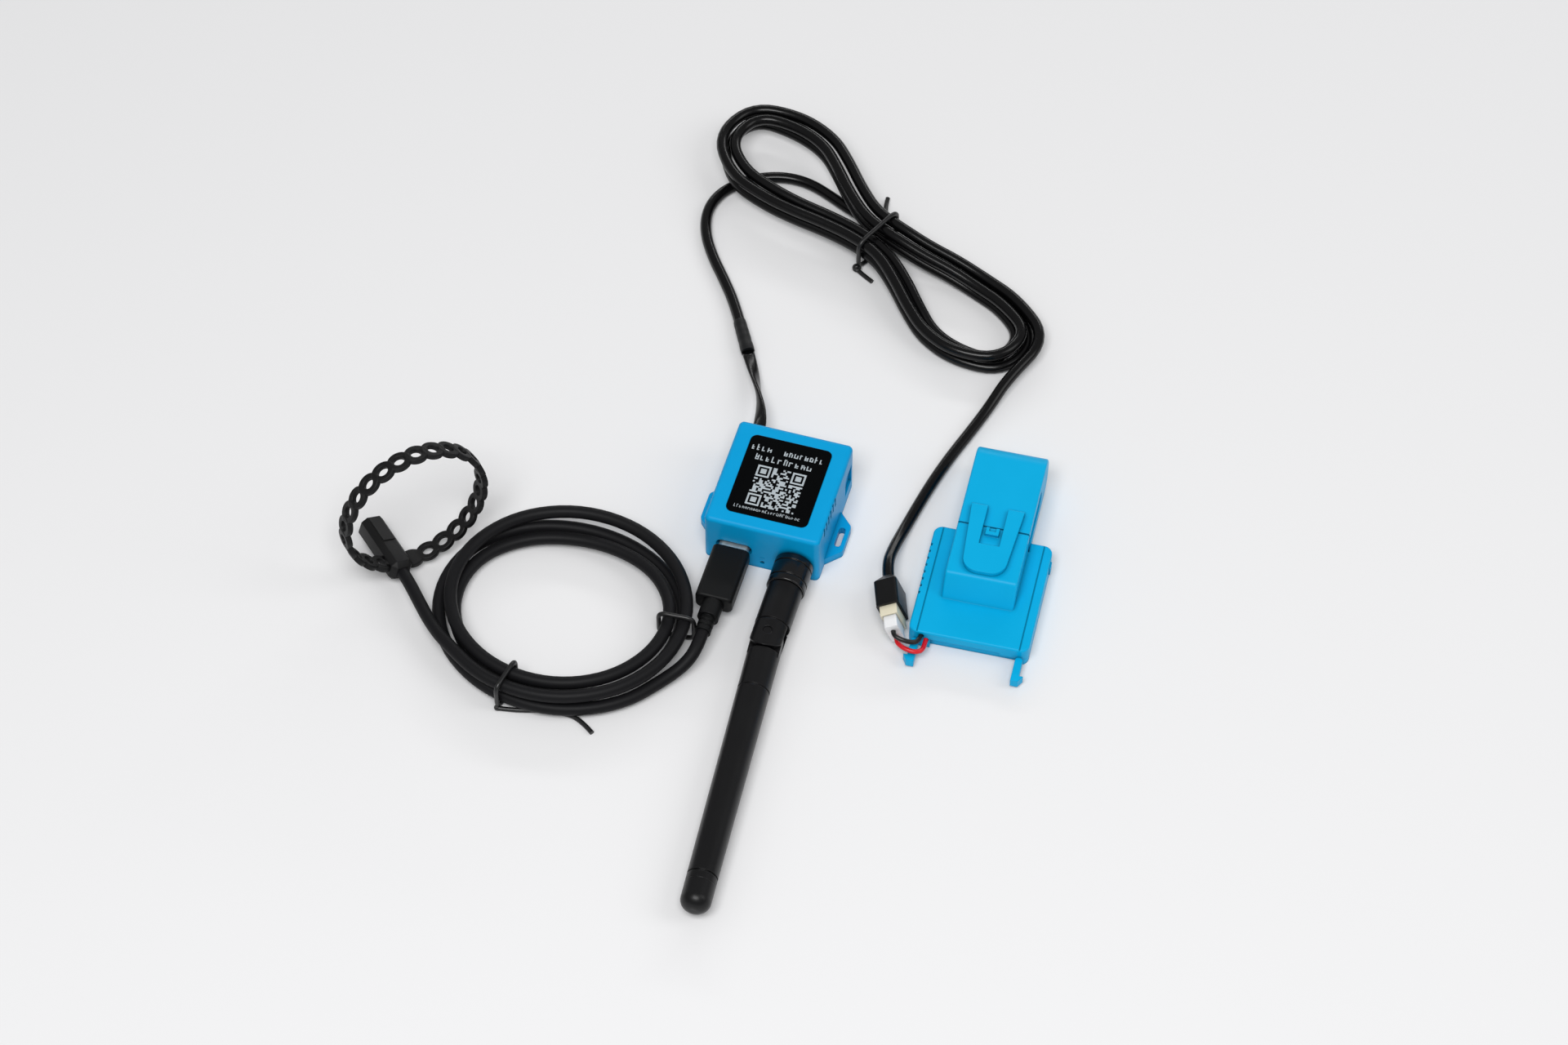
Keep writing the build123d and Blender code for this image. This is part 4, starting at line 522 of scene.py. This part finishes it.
# %% Wires of the clamp
CLAMP_PLACE = Vector((59.4, -11.6, 0.0))
CLAMP_HEADING = math.radians(2.9)
CLAMP_FRAME = Matrix.Translation(CLAMP_PLACE) @ Matrix.Rotation(CLAMP_HEADING, 4, "Z")
SOCKET_UP = Vector((math.sin(SOCKET_HEADING) * math.sin(SOCKET_ROLL),
                    -math.cos(SOCKET_HEADING) * math.sin(SOCKET_ROLL), math.cos(SOCKET_ROLL)))
WIRE_DIAMETER = 1.3
PLUG_FRONT = 10.6
WIRE_LEVEL = 1.2
BLACK_BEND = [(42.8, -33.6, 6.7), (45.5, -33.5, 6.0)]
RED_BEND = [(42.7, -34.0, 4.6), (45.0, -35.0, 4.6), (47.4, -35.1, 4.5), (49.0, -33.9, 4.0)]
BLACK_ENTRY, RED_ENTRY = (-12.5, 4.75), (-11.2, 3.35)
WIRE_OUTSIDE, WIRE_INSIDE = -19.45, -14.9

black_insulation = jacket("black_wire_insulation", "0B0B0C", 0.3, 0.6, 0.2, shine=0.5)
red_insulation = jacket("red_wire_insulation", "D3101E", 0.3, 0.6, 0.2, shine=0.5)


def wire_route(level, entry, bend):
    start = SOCKET_CENTRE + SOCKET_WAY * PLUG_FRONT + SOCKET_UP * level
    return [start, start + SOCKET_WAY * WIRE_DIAMETER, *bend,
            CLAMP_FRAME @ Vector((entry[0], WIRE_OUTSIDE, entry[1])),
            CLAMP_FRAME @ Vector((entry[0], WIRE_INSIDE, entry[1]))]


for wire_name, level, entry, bend, insulation in (
        ("black_wire", WIRE_LEVEL, BLACK_ENTRY, BLACK_BEND, black_insulation),
        ("red_wire", -WIRE_LEVEL, RED_ENTRY, RED_BEND, red_insulation)):
    wire = cord_curve(wire_name + "_curve", wire_route(level, entry, bend), WIRE_DIAMETER,
                      insulation)
    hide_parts(wire_name)
    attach(wire, "clamp")
    print(wire_name, "in mm:", round(line_length(curve_line(wire)) / MM, 1))

# %% [markdown]
# Soft black wire ties hold the coil and the hank. Each is a ring round the
# strands, a small knot where its ends are twisted, and tails that stick out.
# The ring's eight control points make the spline touch all four sides, and the
# knot is two small tori that lie across each other.

# %% Ties
TIE_DIAMETER = 1.3
TIE_SLACK = 0.2
TIE_LOW = TIE_DIAMETER / 2
COIL_TIE_HIGH = COIL_FLOOR + COIL_LEVEL + LEAD_DIAMETER / 2 + TIE_SLACK + TIE_DIAMETER / 2
KNOT_TURNS = (0.3, 1.9)
KNOT_RADIUS, KNOT_WIRE_RADIUS = 0.72, 0.58
KNOT_STEPS, KNOT_WIRE_STEPS = 24, 12

tie_wire = jacket("soft_tie_wire", "121213", 0.34, 0.9, 0.3, shine=0.5)
print("tie wire in mm:", TIE_DIAMETER)


def make_one(name, parts):
    bpy.ops.object.select_all(action="DESELECT")
    for part in parts:
        part.select_set(True)
    bpy.context.view_layer.objects.active = parts[0]
    bpy.ops.object.convert(target="MESH")
    bpy.ops.object.join()
    whole = bpy.context.object
    whole.name = name
    return whole


def tie_ring(name, middle, outward, across_half, low, high):
    centre = Vector((middle.x, middle.y, (low + high) / 2))
    half = (high - low) / 2
    signs = [(1, 0), (1, 1), (0, 1), (-1, 1), (-1, 0), (-1, -1), (0, -1), (1, -1)]
    points = [centre + outward * (across_half * a) + Vector((0, 0, half * b)) for a, b in signs]
    ring = cord_curve(name, points, TIE_DIAMETER, tie_wire)
    ring.data.splines[0].use_endpoint_u = False
    ring.data.splines[0].use_cyclic_u = True
    return ring


def tie_knot(name, place, tilt, size=1.0):
    loops = []
    for number, turn in enumerate(KNOT_TURNS):
        bpy.ops.object.select_all(action="DESELECT")
        bpy.ops.mesh.primitive_torus_add(
            location=tuple(Vector(place) * MM), rotation=(tilt, turn, 0.0),
            major_segments=KNOT_STEPS, minor_segments=KNOT_WIRE_STEPS,
            major_radius=KNOT_RADIUS * size * MM, minor_radius=KNOT_WIRE_RADIUS * size * MM)
        bpy.ops.object.transform_apply(location=True, rotation=True, scale=True)
        bpy.ops.object.shade_smooth()
        loop = bpy.context.object
        loop.name = name + str(number)
        loop.data.materials.append(tie_wire)
        loops.append(loop)
    return loops


# %% [markdown]
# Two ties hold the coil, one at the right and one at the front. A tie is placed
# by its angle on the coil and by the lanes it goes round, and its ring stands
# square to the strands there. The front one has a long tail.

# %% The coil's ties
TIE_TAIL = [(-48.5, -79.6, 0.65), (-42.5, -77.8, 0.65), (-36.0, -76.9, 0.65),
            (-31.5, -77.6, 0.65), (-27.3, -80.7, 0.65)]
COIL_KNOT_OUT, COIL_KNOT_HEIGHT = 0.25, 0.9
COIL_KNOT_TILT, COIL_KNOT_SIZE = 0.4, 0.65


def coil_tie(name, angle, lanes, tail):
    middle = coil_point(angle, (lanes[0] + lanes[1]) / 2, TIE_LOW)
    turn = math.radians(angle)
    lane = (lanes[0] + lanes[1]) / 2
    outward = Vector(((COIL_INNER[1] + COIL_LANE * lane) * math.cos(turn),
                      (COIL_INNER[0] + COIL_LANE * lane) * math.sin(turn), 0)).normalized()
    across = (COIL_LANE * (lanes[1] - lanes[0]) / 2 + LEAD_DIAMETER / 2 + TIE_SLACK
              + TIE_DIAMETER / 2)
    parts = [tie_ring(name + "_ring", middle, outward, across, TIE_LOW, COIL_TIE_HIGH)]
    knot = middle + outward * (across + COIL_KNOT_OUT)
    knot.z = COIL_KNOT_HEIGHT
    parts += tie_knot(name + "_loop", knot, COIL_KNOT_TILT, size=COIL_KNOT_SIZE)
    if tail:
        tail_points = [(knot.x, knot.y, TIE_LOW)] + tail
        parts.append(cord_curve(name + "_tail", tail_points, TIE_DIAMETER, tie_wire))
    return make_one(name, parts)


tie_1 = coil_tie("coil_tie_right", angle=3.0, lanes=(-0.12, 0.9), tail=[])
tie_2 = coil_tie("coil_tie_front", angle=-102.0, lanes=(0.18, 1.32), tail=TIE_TAIL)
for tie, solid in ((tie_1, "coil_tie_1"), (tie_2, "coil_tie_2")):
    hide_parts(solid)
    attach(tie, "probe_lead")
print("coil ties:", tie_1.name, tie_2.name)

# %% [markdown]
# The hank's tie goes round all its strands at the waist. The ring's size comes
# from the two outer strands there. Its knot is at the near side, low down, and
# one tail lies in front of it while the other sticks out behind.

# %% The hank's tie
HANK_KNOT_OUT, HANK_KNOT_HEIGHT, HANK_KNOT_TILT = 0.7, 1.35, 0.9
TIE_CORNER = 2.4
NEAR_TAIL = [(-0.6, 88.2, 0.65), (2.1, 86.8, 0.65)]
FAR_TAIL = [(2.0, 108.6, 2.2), (-1.6, 112.6, 0.75), (-1.8, 117.9, 1.0)]

waist_b, waist_a = hank_place("waist_b", 1, 1)[0], hank_place("waist_a", 1, 1)[0]
waist = (waist_a + waist_b) / 2
waist_half = (waist_b - waist_a).length / 2 + CABLE_DIAMETER / 2 + TIE_SLACK + TIE_DIAMETER / 2
waist_high = waist_b.z + CABLE_DIAMETER / 2 + TIE_SLACK + TIE_DIAMETER / 2
knot_place = waist - ACROSS_HANK * (waist_half + HANK_KNOT_OUT)
far_side = waist + ACROSS_HANK * (waist_half - TIE_DIAMETER / 4)
near_tail = [(knot_place.x, knot_place.y, TIE_LOW)] + NEAR_TAIL
far_tail = [(far_side.x, far_side.y, TIE_LOW + TIE_CORNER + TIE_DIAMETER / 2)] + FAR_TAIL
parts = [tie_ring("hank_tie_ring", waist, ACROSS_HANK, waist_half, TIE_LOW, waist_high)]
parts += tie_knot("hank_tie_loop", (knot_place.x, knot_place.y, HANK_KNOT_HEIGHT), HANK_KNOT_TILT)
parts.append(cord_curve("hank_near_tail", near_tail, TIE_DIAMETER, tie_wire))
parts.append(cord_curve("hank_far_tail", far_tail, TIE_DIAMETER, tie_wire))
hank_tie = make_one("hank_tie_wire", parts)
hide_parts("hank_tie")
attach(hank_tie, "hub")
print("hank tie in mm:", [round(side / MM, 1) for side in hank_tie.dimensions])

# %% [markdown]
# Most pieces are moulded plastic, with a fine eroded texture from the mould. It
# softens the gloss and is drawn coarser than the real one, so that it shows. A
# second, slow noise varies the colour by a few percent, as pigment and handling
# do. Edges are rounded by a third of a millimetre for the light, and narrow
# gaps and grooves get painted shade, darker where little light gets in.

# %% Moulded plastic
EDGE_ROUNDING = 0.3
CREVICE_REACH, CREVICE_SHADE = 1.4, 0.3
PIGMENT_PATCH, PIGMENT_SHADE = 9.0, 0.93
MOULD_RELIEF, MOULD_SPREAD = 0.04, 0.06


def moulded(name, colour, roughness, grain_mm, relief, shine=0.3):
    material, tree = new_material(name)
    place = node(tree, "ShaderNodeTexCoord")
    grain = node(tree, "ShaderNodeTexNoise", {
        "Vector": place.outputs["Object"], "Scale": 1 / (grain_mm * MM), "Detail": 4.0})
    slow = node(tree, "ShaderNodeTexNoise", {
        "Vector": place.outputs["Object"], "Scale": 1 / (PIGMENT_PATCH * MM), "Detail": 2.0})
    bright = linear(colour)
    dark = (*[channel * PIGMENT_SHADE for channel in bright[:3]], 1.0)
    pigment = node(tree, "ShaderNodeMix", {0: slow.outputs["Fac"], MIX_FIRST: dark,
                                           MIX_SECOND: bright}, data_type="RGBA")
    rough = node(tree, "ShaderNodeMapRange", {
        "Value": slow.outputs["Fac"], "To Min": roughness - MOULD_SPREAD,
        "To Max": roughness + MOULD_SPREAD})
    rounding = node(tree, "ShaderNodeBevel", {"Radius": EDGE_ROUNDING * MM}, samples=6)
    bump = node(tree, "ShaderNodeBump", {
        "Height": grain.outputs["Fac"], "Strength": relief, "Distance": MOULD_RELIEF * MM,
        "Normal": rounding.outputs[0]})
    # Painted shade: an ambient occlusion node darkens the colour in narrow gaps and grooves.
    painted_shade = node(tree, "ShaderNodeAmbientOcclusion", {"Distance": CREVICE_REACH * MM}, samples=8)
    painted_shade_colour = (*[channel * CREVICE_SHADE for channel in bright[:3]], 1.0)
    shaded = node(tree, "ShaderNodeMix", {
        0: painted_shade.outputs["AO"], MIX_FIRST: painted_shade_colour, MIX_SECOND: pigment.outputs[MIX_RESULT]},
        data_type="RGBA")
    skin = node(tree, "ShaderNodeBsdfPrincipled", {
        "Base Color": shaded.outputs[MIX_RESULT], "Roughness": rough.outputs[0],
        "Normal": bump.outputs[0], "Specular IOR Level": shine})
    return finish_material(material, skin)


print("edges rounded by", EDGE_ROUNDING, "mm, gaps shaded within", CREVICE_REACH, "mm")

# %% [markdown]
# The covers of the hub and the clamp are blue ABS, half glossy, and the clamp's
# is a little lighter. The label is a dull polyester film with pale grey ink.

# %% Covers and label
blue_abs = moulded("blue_moulded_abs", "00A0DC", 0.36, 0.35, 0.25, shine=0.14)
clamp_abs = moulded("blue_clamp_abs", "00AEE3", 0.36, 0.4, 0.2, shine=0.14)
label_film = moulded("black_polyester_label", "020304", 0.38, 0.25, 0.1, shine=0.05)
label_ink = moulded("pale_label_ink", "BCC6CC", 0.5, 0.3, 0.1)
print("covers:", blue_abs.name, clamp_abs.name)

# %% [markdown]
# The blacks differ in gloss. The antenna is smooth ABS and its nut is plated,
# so both shine. The overmoulded TPE round the plug and the silicone of the strap
# are dull, the PVC socket lies between, and shrunk film is wrinkled.

# %% Black mouldings
antenna_abs = moulded("black_antenna_abs", "0B0B0D", 0.34, 0.5, 0.25)
black_plating = moulded("black_plated_nut", "08080A", 0.24, 0.4, 0.15, shine=0.5)
plug_tpe = moulded("black_overmoulded_tpe", "0D0E0F", 0.48, 0.4, 0.35, shine=0.2)
socket_pvc = moulded("black_moulded_pvc", "0A0A0B", 0.34, 0.5, 0.2)
strap_rubber = moulded("black_strap_silicone", "101011", 0.50, 0.5, 0.35, shine=0.25)
shrink_film = moulded("heat_shrink_polyolefin", "131416", 0.45, 0.7, 0.5)
print("black mouldings:", antenna_abs.name, plug_tpe.name, socket_pvc.name)

# %% [markdown]
# The little plug and its header are unpainted nylon, one white and one aged to
# cream. The rest is seen only through gaps: the boards' green solder mask, the
# pressed ferrite of the cores, a foam pad and a capacitor's sleeve.

# %% Nylon and inner pieces
nylon_cream = moulded("cream_nylon_header", "EAE3CA", 0.45, 0.5, 0.2)
nylon_white = moulded("white_nylon_plug", "F4F5F6", 0.42, 0.5, 0.2)
solder_mask = moulded("green_solder_mask", "14512C", 0.3, 0.8, 0.15)
ferrite = moulded("sintered_ferrite", "3A3B3E", 0.55, 0.3, 0.6)
foam = moulded("grey_spring_foam", "55565A", 0.8, 0.5, 0.9)
sleeve_pet = moulded("capacitor_pet_sleeve", "101828", 0.25, 1.0, 0.05)
print("inner pieces:", solder_mask.name, ferrite.name, foam.name)

# %% [markdown]
# Metals take their look from what they mirror. Plated steel is drawn or
# stamped, so noise stretched along one way breaks its shine into fine lines.
# The nickel of the plug's shell is satin, the screws' zinc is bluish, the
# antenna's jack is thin gold on brass, and the winding is enamelled copper.

# %% Metals
DRAWN_LINE = 0.4
METAL_RELIEF, METAL_STRENGTH, METAL_SPREAD = 0.02, 0.15, 0.1


def stamped_metal(name, colour, roughness, stretch):
    material, tree = new_material(name)
    place = node(tree, "ShaderNodeTexCoord")
    lines = node(tree, "ShaderNodeMapping", {"Vector": place.outputs["Object"], "Scale": stretch})
    grain = node(tree, "ShaderNodeTexNoise", {
        "Vector": lines.outputs[0], "Scale": 1 / (DRAWN_LINE * MM), "Detail": 3.0})
    rough = node(tree, "ShaderNodeMapRange", {
        "Value": grain.outputs["Fac"], "To Min": roughness - METAL_SPREAD,
        "To Max": roughness + METAL_SPREAD})
    bump = node(tree, "ShaderNodeBump", {
        "Height": grain.outputs["Fac"], "Strength": METAL_STRENGTH,
        "Distance": METAL_RELIEF * MM})
    skin = node(tree, "ShaderNodeBsdfPrincipled", {
        "Base Color": linear(colour), "Metallic": 1.0, "Roughness": rough.outputs[0],
        "Normal": bump.outputs[0]})
    return finish_material(material, skin)


shell_steel = stamped_metal("nickel_plated_steel", "F0EEE8", 0.46, (1.0, 0.1, 1.0))
screw_steel = stamped_metal("zinc_plated_steel", "B9BBBE", 0.35, (1.0, 1.0, 0.2))
jack_brass = stamped_metal("gold_plated_brass", "D2AE63", 0.25, (1.0, 0.1, 1.0))
copper_wire = stamped_metal("enamelled_copper", "B5602E", 0.3, (1.0, 1.0, 0.1))
print("metals:", [metal.name for metal in (shell_steel, screw_steel, jack_brass, copper_wire)])

# %% [markdown]
# The heat-shrink sleeve grips the joint of the flat cord and the round cable.
# It is a short cord whose thickness varies from point to point, because film
# that was shrunk by hand is never quite even.

# %% Heat-shrink sleeve
SLEEVE_DIAMETER = 3.9
SLEEVE_WAVES = [0.98, 1.04, 1.0, 0.95, 1.0, 0.95, 0.98, 0.92, 0.96, 0.9]
sleeve_from, sleeve_to = Vector(TWIN_ROUTE[-1]), Vector(SLEEVE_END)
sleeve_points = [sleeve_from.lerp(sleeve_to, step / (len(SLEEVE_WAVES) - 1))
                 for step in range(len(SLEEVE_WAVES))]
sleeve_cord = cord_curve("sleeve_cord", sleeve_points, SLEEVE_DIAMETER, shrink_film)
for point, wave in zip(sleeve_cord.data.splines[0].points, SLEEVE_WAVES):
    point.radius = wave
sleeve = make_one("heat_shrink_film", [sleeve_cord])
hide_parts("heat_shrink_sleeve")
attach(sleeve, "hub")
print("sleeve points:", len(sleeve_points))

# %% [markdown]
# The strap is a moulded chain of oval links, each with an eye, so that it can
# be closed at any length. One link is a flat curve with a rounded edge, made
# solid, and its copies stand round the hoop. Two links at the probe have no
# eye. The link's hole runs the other way round than its rim, which tells the
# curve that its rounded edge faces inwards there.

# %% The strap's hoop
HOOP_CENTRE = Vector((-89.0, -40.1, 23.4))
HOOP_RADIUS = 20.1
HOOP_HEADING, HOOP_TILT = math.radians(47.0), math.radians(3.1)
LINK_COUNT, BLIND_LINKS = 26, 2
LINK_SIZE, EYE_SIZE = (6.6, 5.5), (3.0, 2.6)
STRAP_THICKNESS, LINK_ROUNDING = 1.6, 0.28
OVAL_STEPS, ROUND_STEPS = 40, 2
LINK_SMOOTH_ANGLE = math.radians(35)
BLOCK_ANGLE = math.radians(-112.0)

hoop_u = Vector((math.cos(HOOP_HEADING), math.sin(HOOP_HEADING), 0))
hoop_n = Vector((math.sin(HOOP_HEADING) * math.cos(HOOP_TILT),
                 -math.cos(HOOP_HEADING) * math.cos(HOOP_TILT), math.sin(HOOP_TILT)))
HOOP_FRAME = Matrix((hoop_u, hoop_n.cross(hoop_u), hoop_n)).transposed().to_4x4()
HOOP_FRAME.translation = HOOP_CENTRE * MM
ON_HOOP = Matrix(((0, 0, 1, HOOP_RADIUS * MM), (1, 0, 0, 0), (0, 1, 0, 0), (0, 0, 0, 1)))
print("hoop's axis:", [round(share, 3) for share in hoop_n])


# %% One link
def add_oval(data, size, grow, way):
    spline = data.splines.new("POLY")
    spline.points.add(OVAL_STEPS - 1)
    for step, point in enumerate(spline.points):
        angle = way * 2 * math.pi * step / OVAL_STEPS
        point.co = ((size[0] / 2 + grow) * math.cos(angle) * MM,
                    (size[1] / 2 + grow) * math.sin(angle) * MM, 0, 1)
    spline.use_cyclic_u = True


def link_shape(name, with_eye):
    data = bpy.data.curves.new(name, "CURVE")
    data.dimensions = "2D"
    data.fill_mode = "BOTH"
    data.extrude = (STRAP_THICKNESS / 2 - LINK_ROUNDING) * MM
    data.bevel_depth = LINK_ROUNDING * MM
    data.bevel_resolution = ROUND_STEPS
    add_oval(data, LINK_SIZE, -LINK_ROUNDING, 1)
    if with_eye:
        add_oval(data, EYE_SIZE, LINK_ROUNDING, -1)
    data.materials.append(strap_rubber)
    shape = bpy.data.objects.new(name, data)
    bpy.context.scene.collection.objects.link(shape)
    return make_one(name, [shape])


eyed_link, blind_link = link_shape("eyed_link", True), link_shape("blind_link", False)
print("faces of a link:", len(eyed_link.data.polygons))

# %% The chain of links
links = []
for number in range(LINK_COUNT):
    link_data = (blind_link if number < BLIND_LINKS else eyed_link).data.copy()
    turn = Matrix.Rotation(BLOCK_ANGLE + 2 * math.pi * number / LINK_COUNT, 4, "Z")
    link_data.transform(HOOP_FRAME @ turn @ ON_HOOP)
    links.append(bpy.data.objects.new("strap_link", link_data))
    bpy.context.scene.collection.objects.link(links[-1])
for pattern in (eyed_link, blind_link):
    bpy.data.objects.remove(pattern)
strap = make_one("link_strap", links)
bpy.ops.object.shade_smooth_by_angle(angle=LINK_SMOOTH_ANGLE)
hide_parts("probe_strap")
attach(strap, "probe_lead")
print("links:", LINK_COUNT, "faces:", len(strap.data.polygons))

# %% [markdown]
# The probe is a moulded block with wide chamfers on its long edges and a
# narrower nose, so that it can be pushed between a wall and a pipe. The strap
# goes through it near the end where the lead comes out.

# %% Probe block, chamfered
BLOCK_SIZE = (6.4, 6.6, 20.5)
BLOCK_MIDDLE = (HOOP_RADIUS, 0.0, -6.25)
LONG_CHAMFER, NOSE_CHAMFER, SOFT_EDGE = 1.4, 1.5, 0.22
SAME_LEVEL = 0.01
SHARP_ANGLE, BLOCK_SMOOTH_ANGLE = math.radians(25), math.radians(30)


def bevel_edges(thing, wanted, width):
    for edge in thing.data.edges:
        edge.select = wanted(*[thing.data.vertices[corner].co for corner in edge.vertices])
    bpy.ops.object.mode_set(mode="EDIT")
    bpy.ops.mesh.select_mode(type="EDGE")
    bpy.ops.mesh.bevel(offset=width * MM, segments=1, affect="EDGES")
    bpy.ops.mesh.select_all(action="DESELECT")
    bpy.ops.object.mode_set(mode="OBJECT")


bpy.ops.object.select_all(action="DESELECT")
bpy.ops.mesh.primitive_cube_add(size=MM, location=tuple(Vector(BLOCK_MIDDLE) * MM),
                                scale=BLOCK_SIZE)
bpy.ops.object.transform_apply(location=True, rotation=True, scale=True)
probe = bpy.context.object
probe.name = "probe_body"
bpy.ops.object.mode_set(mode="EDIT")
bpy.ops.mesh.select_all(action="DESELECT")
bpy.ops.object.mode_set(mode="OBJECT")
bevel_edges(probe, lambda a, b: abs(a.z - b.z) > MM, LONG_CHAMFER)
nose = min(corner.co.z for corner in probe.data.vertices)
bevel_edges(probe, lambda a, b: max(a.z, b.z) < nose + SAME_LEVEL * MM, NOSE_CHAMFER)
print("probe faces after the chamfers:", len(probe.data.polygons))

# %% Probe block, edges softened
soften = probe.modifiers.new("soft_edges", "BEVEL")
soften.width = SOFT_EDGE * MM
soften.segments = ROUND_STEPS
soften.limit_method = "ANGLE"
soften.angle_limit = SHARP_ANGLE
bpy.ops.object.modifier_apply(modifier=soften.name)
bpy.ops.object.shade_smooth_by_angle(angle=BLOCK_SMOOTH_ANGLE)
probe.data.transform(HOOP_FRAME @ Matrix.Rotation(BLOCK_ANGLE, 4, "Z"))
probe.data.materials.append(strap_rubber)
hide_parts("probe_block")
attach(probe, "probe_lead")
print("probe faces:", len(probe.data.polygons))

# %% [markdown]
# The label carries printed marks: two heading lines, a square code and a line
# of small print, all made up here. Each mark is a few random bars, and the code
# is random squares with the usual three corner marks, so none can be read. All
# are flat bars first, and one Solidify modifier makes them a film of ink.

# %% Label print
PRINT_LEVEL = 17.1
PRINT_THICKNESS = 0.03
CODE_LEFT, CODE_LOW = -6.8, -9.8
CODE_COUNT, CODE_MODULE = 25, 0.54
PRINT_LINES = [(-10.2, -3.6, 9.3, 2.0), (-1.2, 10.2, 9.3, 2.0), (-8.4, 8.8, 6.2, 2.0),
               (-9.4, 9.8, -11.0, 1.0)]
MARK_WIDTHS, MARK_HEIGHTS = (0.5, 0.58, 0.66), (1.0, 0.74, 0.74)
MARK_STROKE, MARK_GAP, STEM_CHANCE = 0.17, 0.2, 0.55
CORNER_MARK_MIDDLE, CORNER_MARK_REACH, CORNER_MARK_RINGS = 3, 4, (0, 1, 3)
FILLED_SHARE = 0.5
marks = random.Random(31)
print_corners, print_faces = [], []


def print_bar(left, right, low, high):
    first = len(print_corners)
    print_corners.extend((x * MM, y * MM, PRINT_LEVEL * MM)
                         for x, y in ((left, low), (right, low), (right, high), (left, high)))
    print_faces.append((first, first + 1, first + 2, first + 3))


def print_line(left, right, middle, height):
    stroke = MARK_STROKE * height
    while left + max(MARK_WIDTHS) * height < right:
        width = height * marks.choice(MARK_WIDTHS)
        low = middle - height / 2
        high = low + height * marks.choice(MARK_HEIGHTS)
        print_bar(left, left + stroke, low, high)
        if marks.random() < STEM_CHANCE:
            print_bar(left + width - stroke, left + width, low, high - stroke)
        levels = (low, (low + high - stroke) / 2, high - stroke)
        for level in marks.sample(levels, marks.choice((1, 2))):
            print_bar(left + stroke, left + width - stroke, level, level + stroke)
        left += width + MARK_GAP * height


def code_cell(column, row):
    last = CODE_COUNT - 1
    for corner_column, corner_row in ((0, last), (last, last), (0, 0)):
        away = max(abs(column - abs(corner_column - CORNER_MARK_MIDDLE)),
                   abs(row - abs(corner_row - CORNER_MARK_MIDDLE)))
        if away <= CORNER_MARK_REACH:
            return away in CORNER_MARK_RINGS
    return marks.random() < FILLED_SHARE


print("code in mm:", round(CODE_COUNT * CODE_MODULE, 1))

# %% Lay out the print
for row in range(CODE_COUNT):
    cells = [code_cell(column, row) for column in range(CODE_COUNT)] + [False]
    run_start = None
    for column, filled in enumerate(cells):
        if filled and run_start is None:
            run_start = column
        if not filled and run_start is not None:
            low = CODE_LOW + row * CODE_MODULE
            print_bar(CODE_LEFT + run_start * CODE_MODULE, CODE_LEFT + column * CODE_MODULE,
                      low, low + CODE_MODULE)
            run_start = None
for one_line in PRINT_LINES:
    print_line(*one_line)
print("print bars:", len(print_faces))

# %% Make the print a thin film of ink
print_data = bpy.data.meshes.new("label_print")
print_data.from_pydata(print_corners, [], print_faces)
print_data.materials.append(label_ink)
label_print = bpy.data.objects.new("label_print", print_data)
bpy.context.scene.collection.objects.link(label_print)
bpy.ops.object.select_all(action="DESELECT")
bpy.context.view_layer.objects.active = label_print
label_print.select_set(True)
thicken = label_print.modifiers.new("ink_film", "SOLIDIFY")
thicken.thickness = PRINT_THICKNESS * MM
thicken.offset = 0.0
bpy.ops.object.modifier_apply(modifier=thicken.name)
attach(label_print, "hub")
print("print film in mm:", PRINT_THICKNESS)

# %% [markdown]
# Each CAD part that stays gets its material in its own slots: blue ABS covers,
# black mouldings, plated steel, nylon, and what the hub and the clamp hold.

# %% Dress the CAD parts
DRESS = {
    "housing_cover": blue_abs, "housing_base_plate": blue_abs, "housing_label": label_film,
    "base_screw_1": screw_steel, "base_screw_2": screw_steel, "base_screw_3": screw_steel,
    "base_screw_4": screw_steel, "main_board": solder_mask, "radio_module": shell_steel,
    "storage_capacitor": sleeve_pet, "usb_receptacle": shell_steel, "cable_connector": nylon_white,
    "antenna_jack": jack_brass, "reset_switch": socket_pvc, "reset_plunger": socket_pvc,
    "cable_grommet": plug_tpe, "socket_housing": socket_pvc,
    "socket_header": nylon_cream, "jst_plug": nylon_white, "coupling_nut": black_plating,
    "antenna_barrel": antenna_abs, "antenna_whip": antenna_abs, "antenna_end_cap": antenna_abs,
    "antenna_hinge_pin": antenna_abs, "usb_plug_shell": shell_steel, "usb_plug_overmould": plug_tpe,
    "usb_strain_relief": plug_tpe, "probe_sensor": strap_rubber,
    "clamp_front_cover": clamp_abs, "clamp_back_cover": clamp_abs,
    "clamp_screw_1": screw_steel, "clamp_screw_2": screw_steel, "upper_jaw": clamp_abs,
    "jaw_latch": clamp_abs, "snap_arm_left": clamp_abs, "snap_arm_right": clamp_abs,
    "lower_core": ferrite, "upper_core": ferrite, "bobbin": nylon_white, "winding": copper_wire,
    "wire_board": solder_mask, "core_spring_pad": foam, "jaw_hinge_pin": screw_steel,
}
for name, material in DRESS.items():
    for slot_place in nodes[name].material_slots:
        slot_place.material = material
print("CAD parts dressed:", len(DRESS), "of", len(nodes))
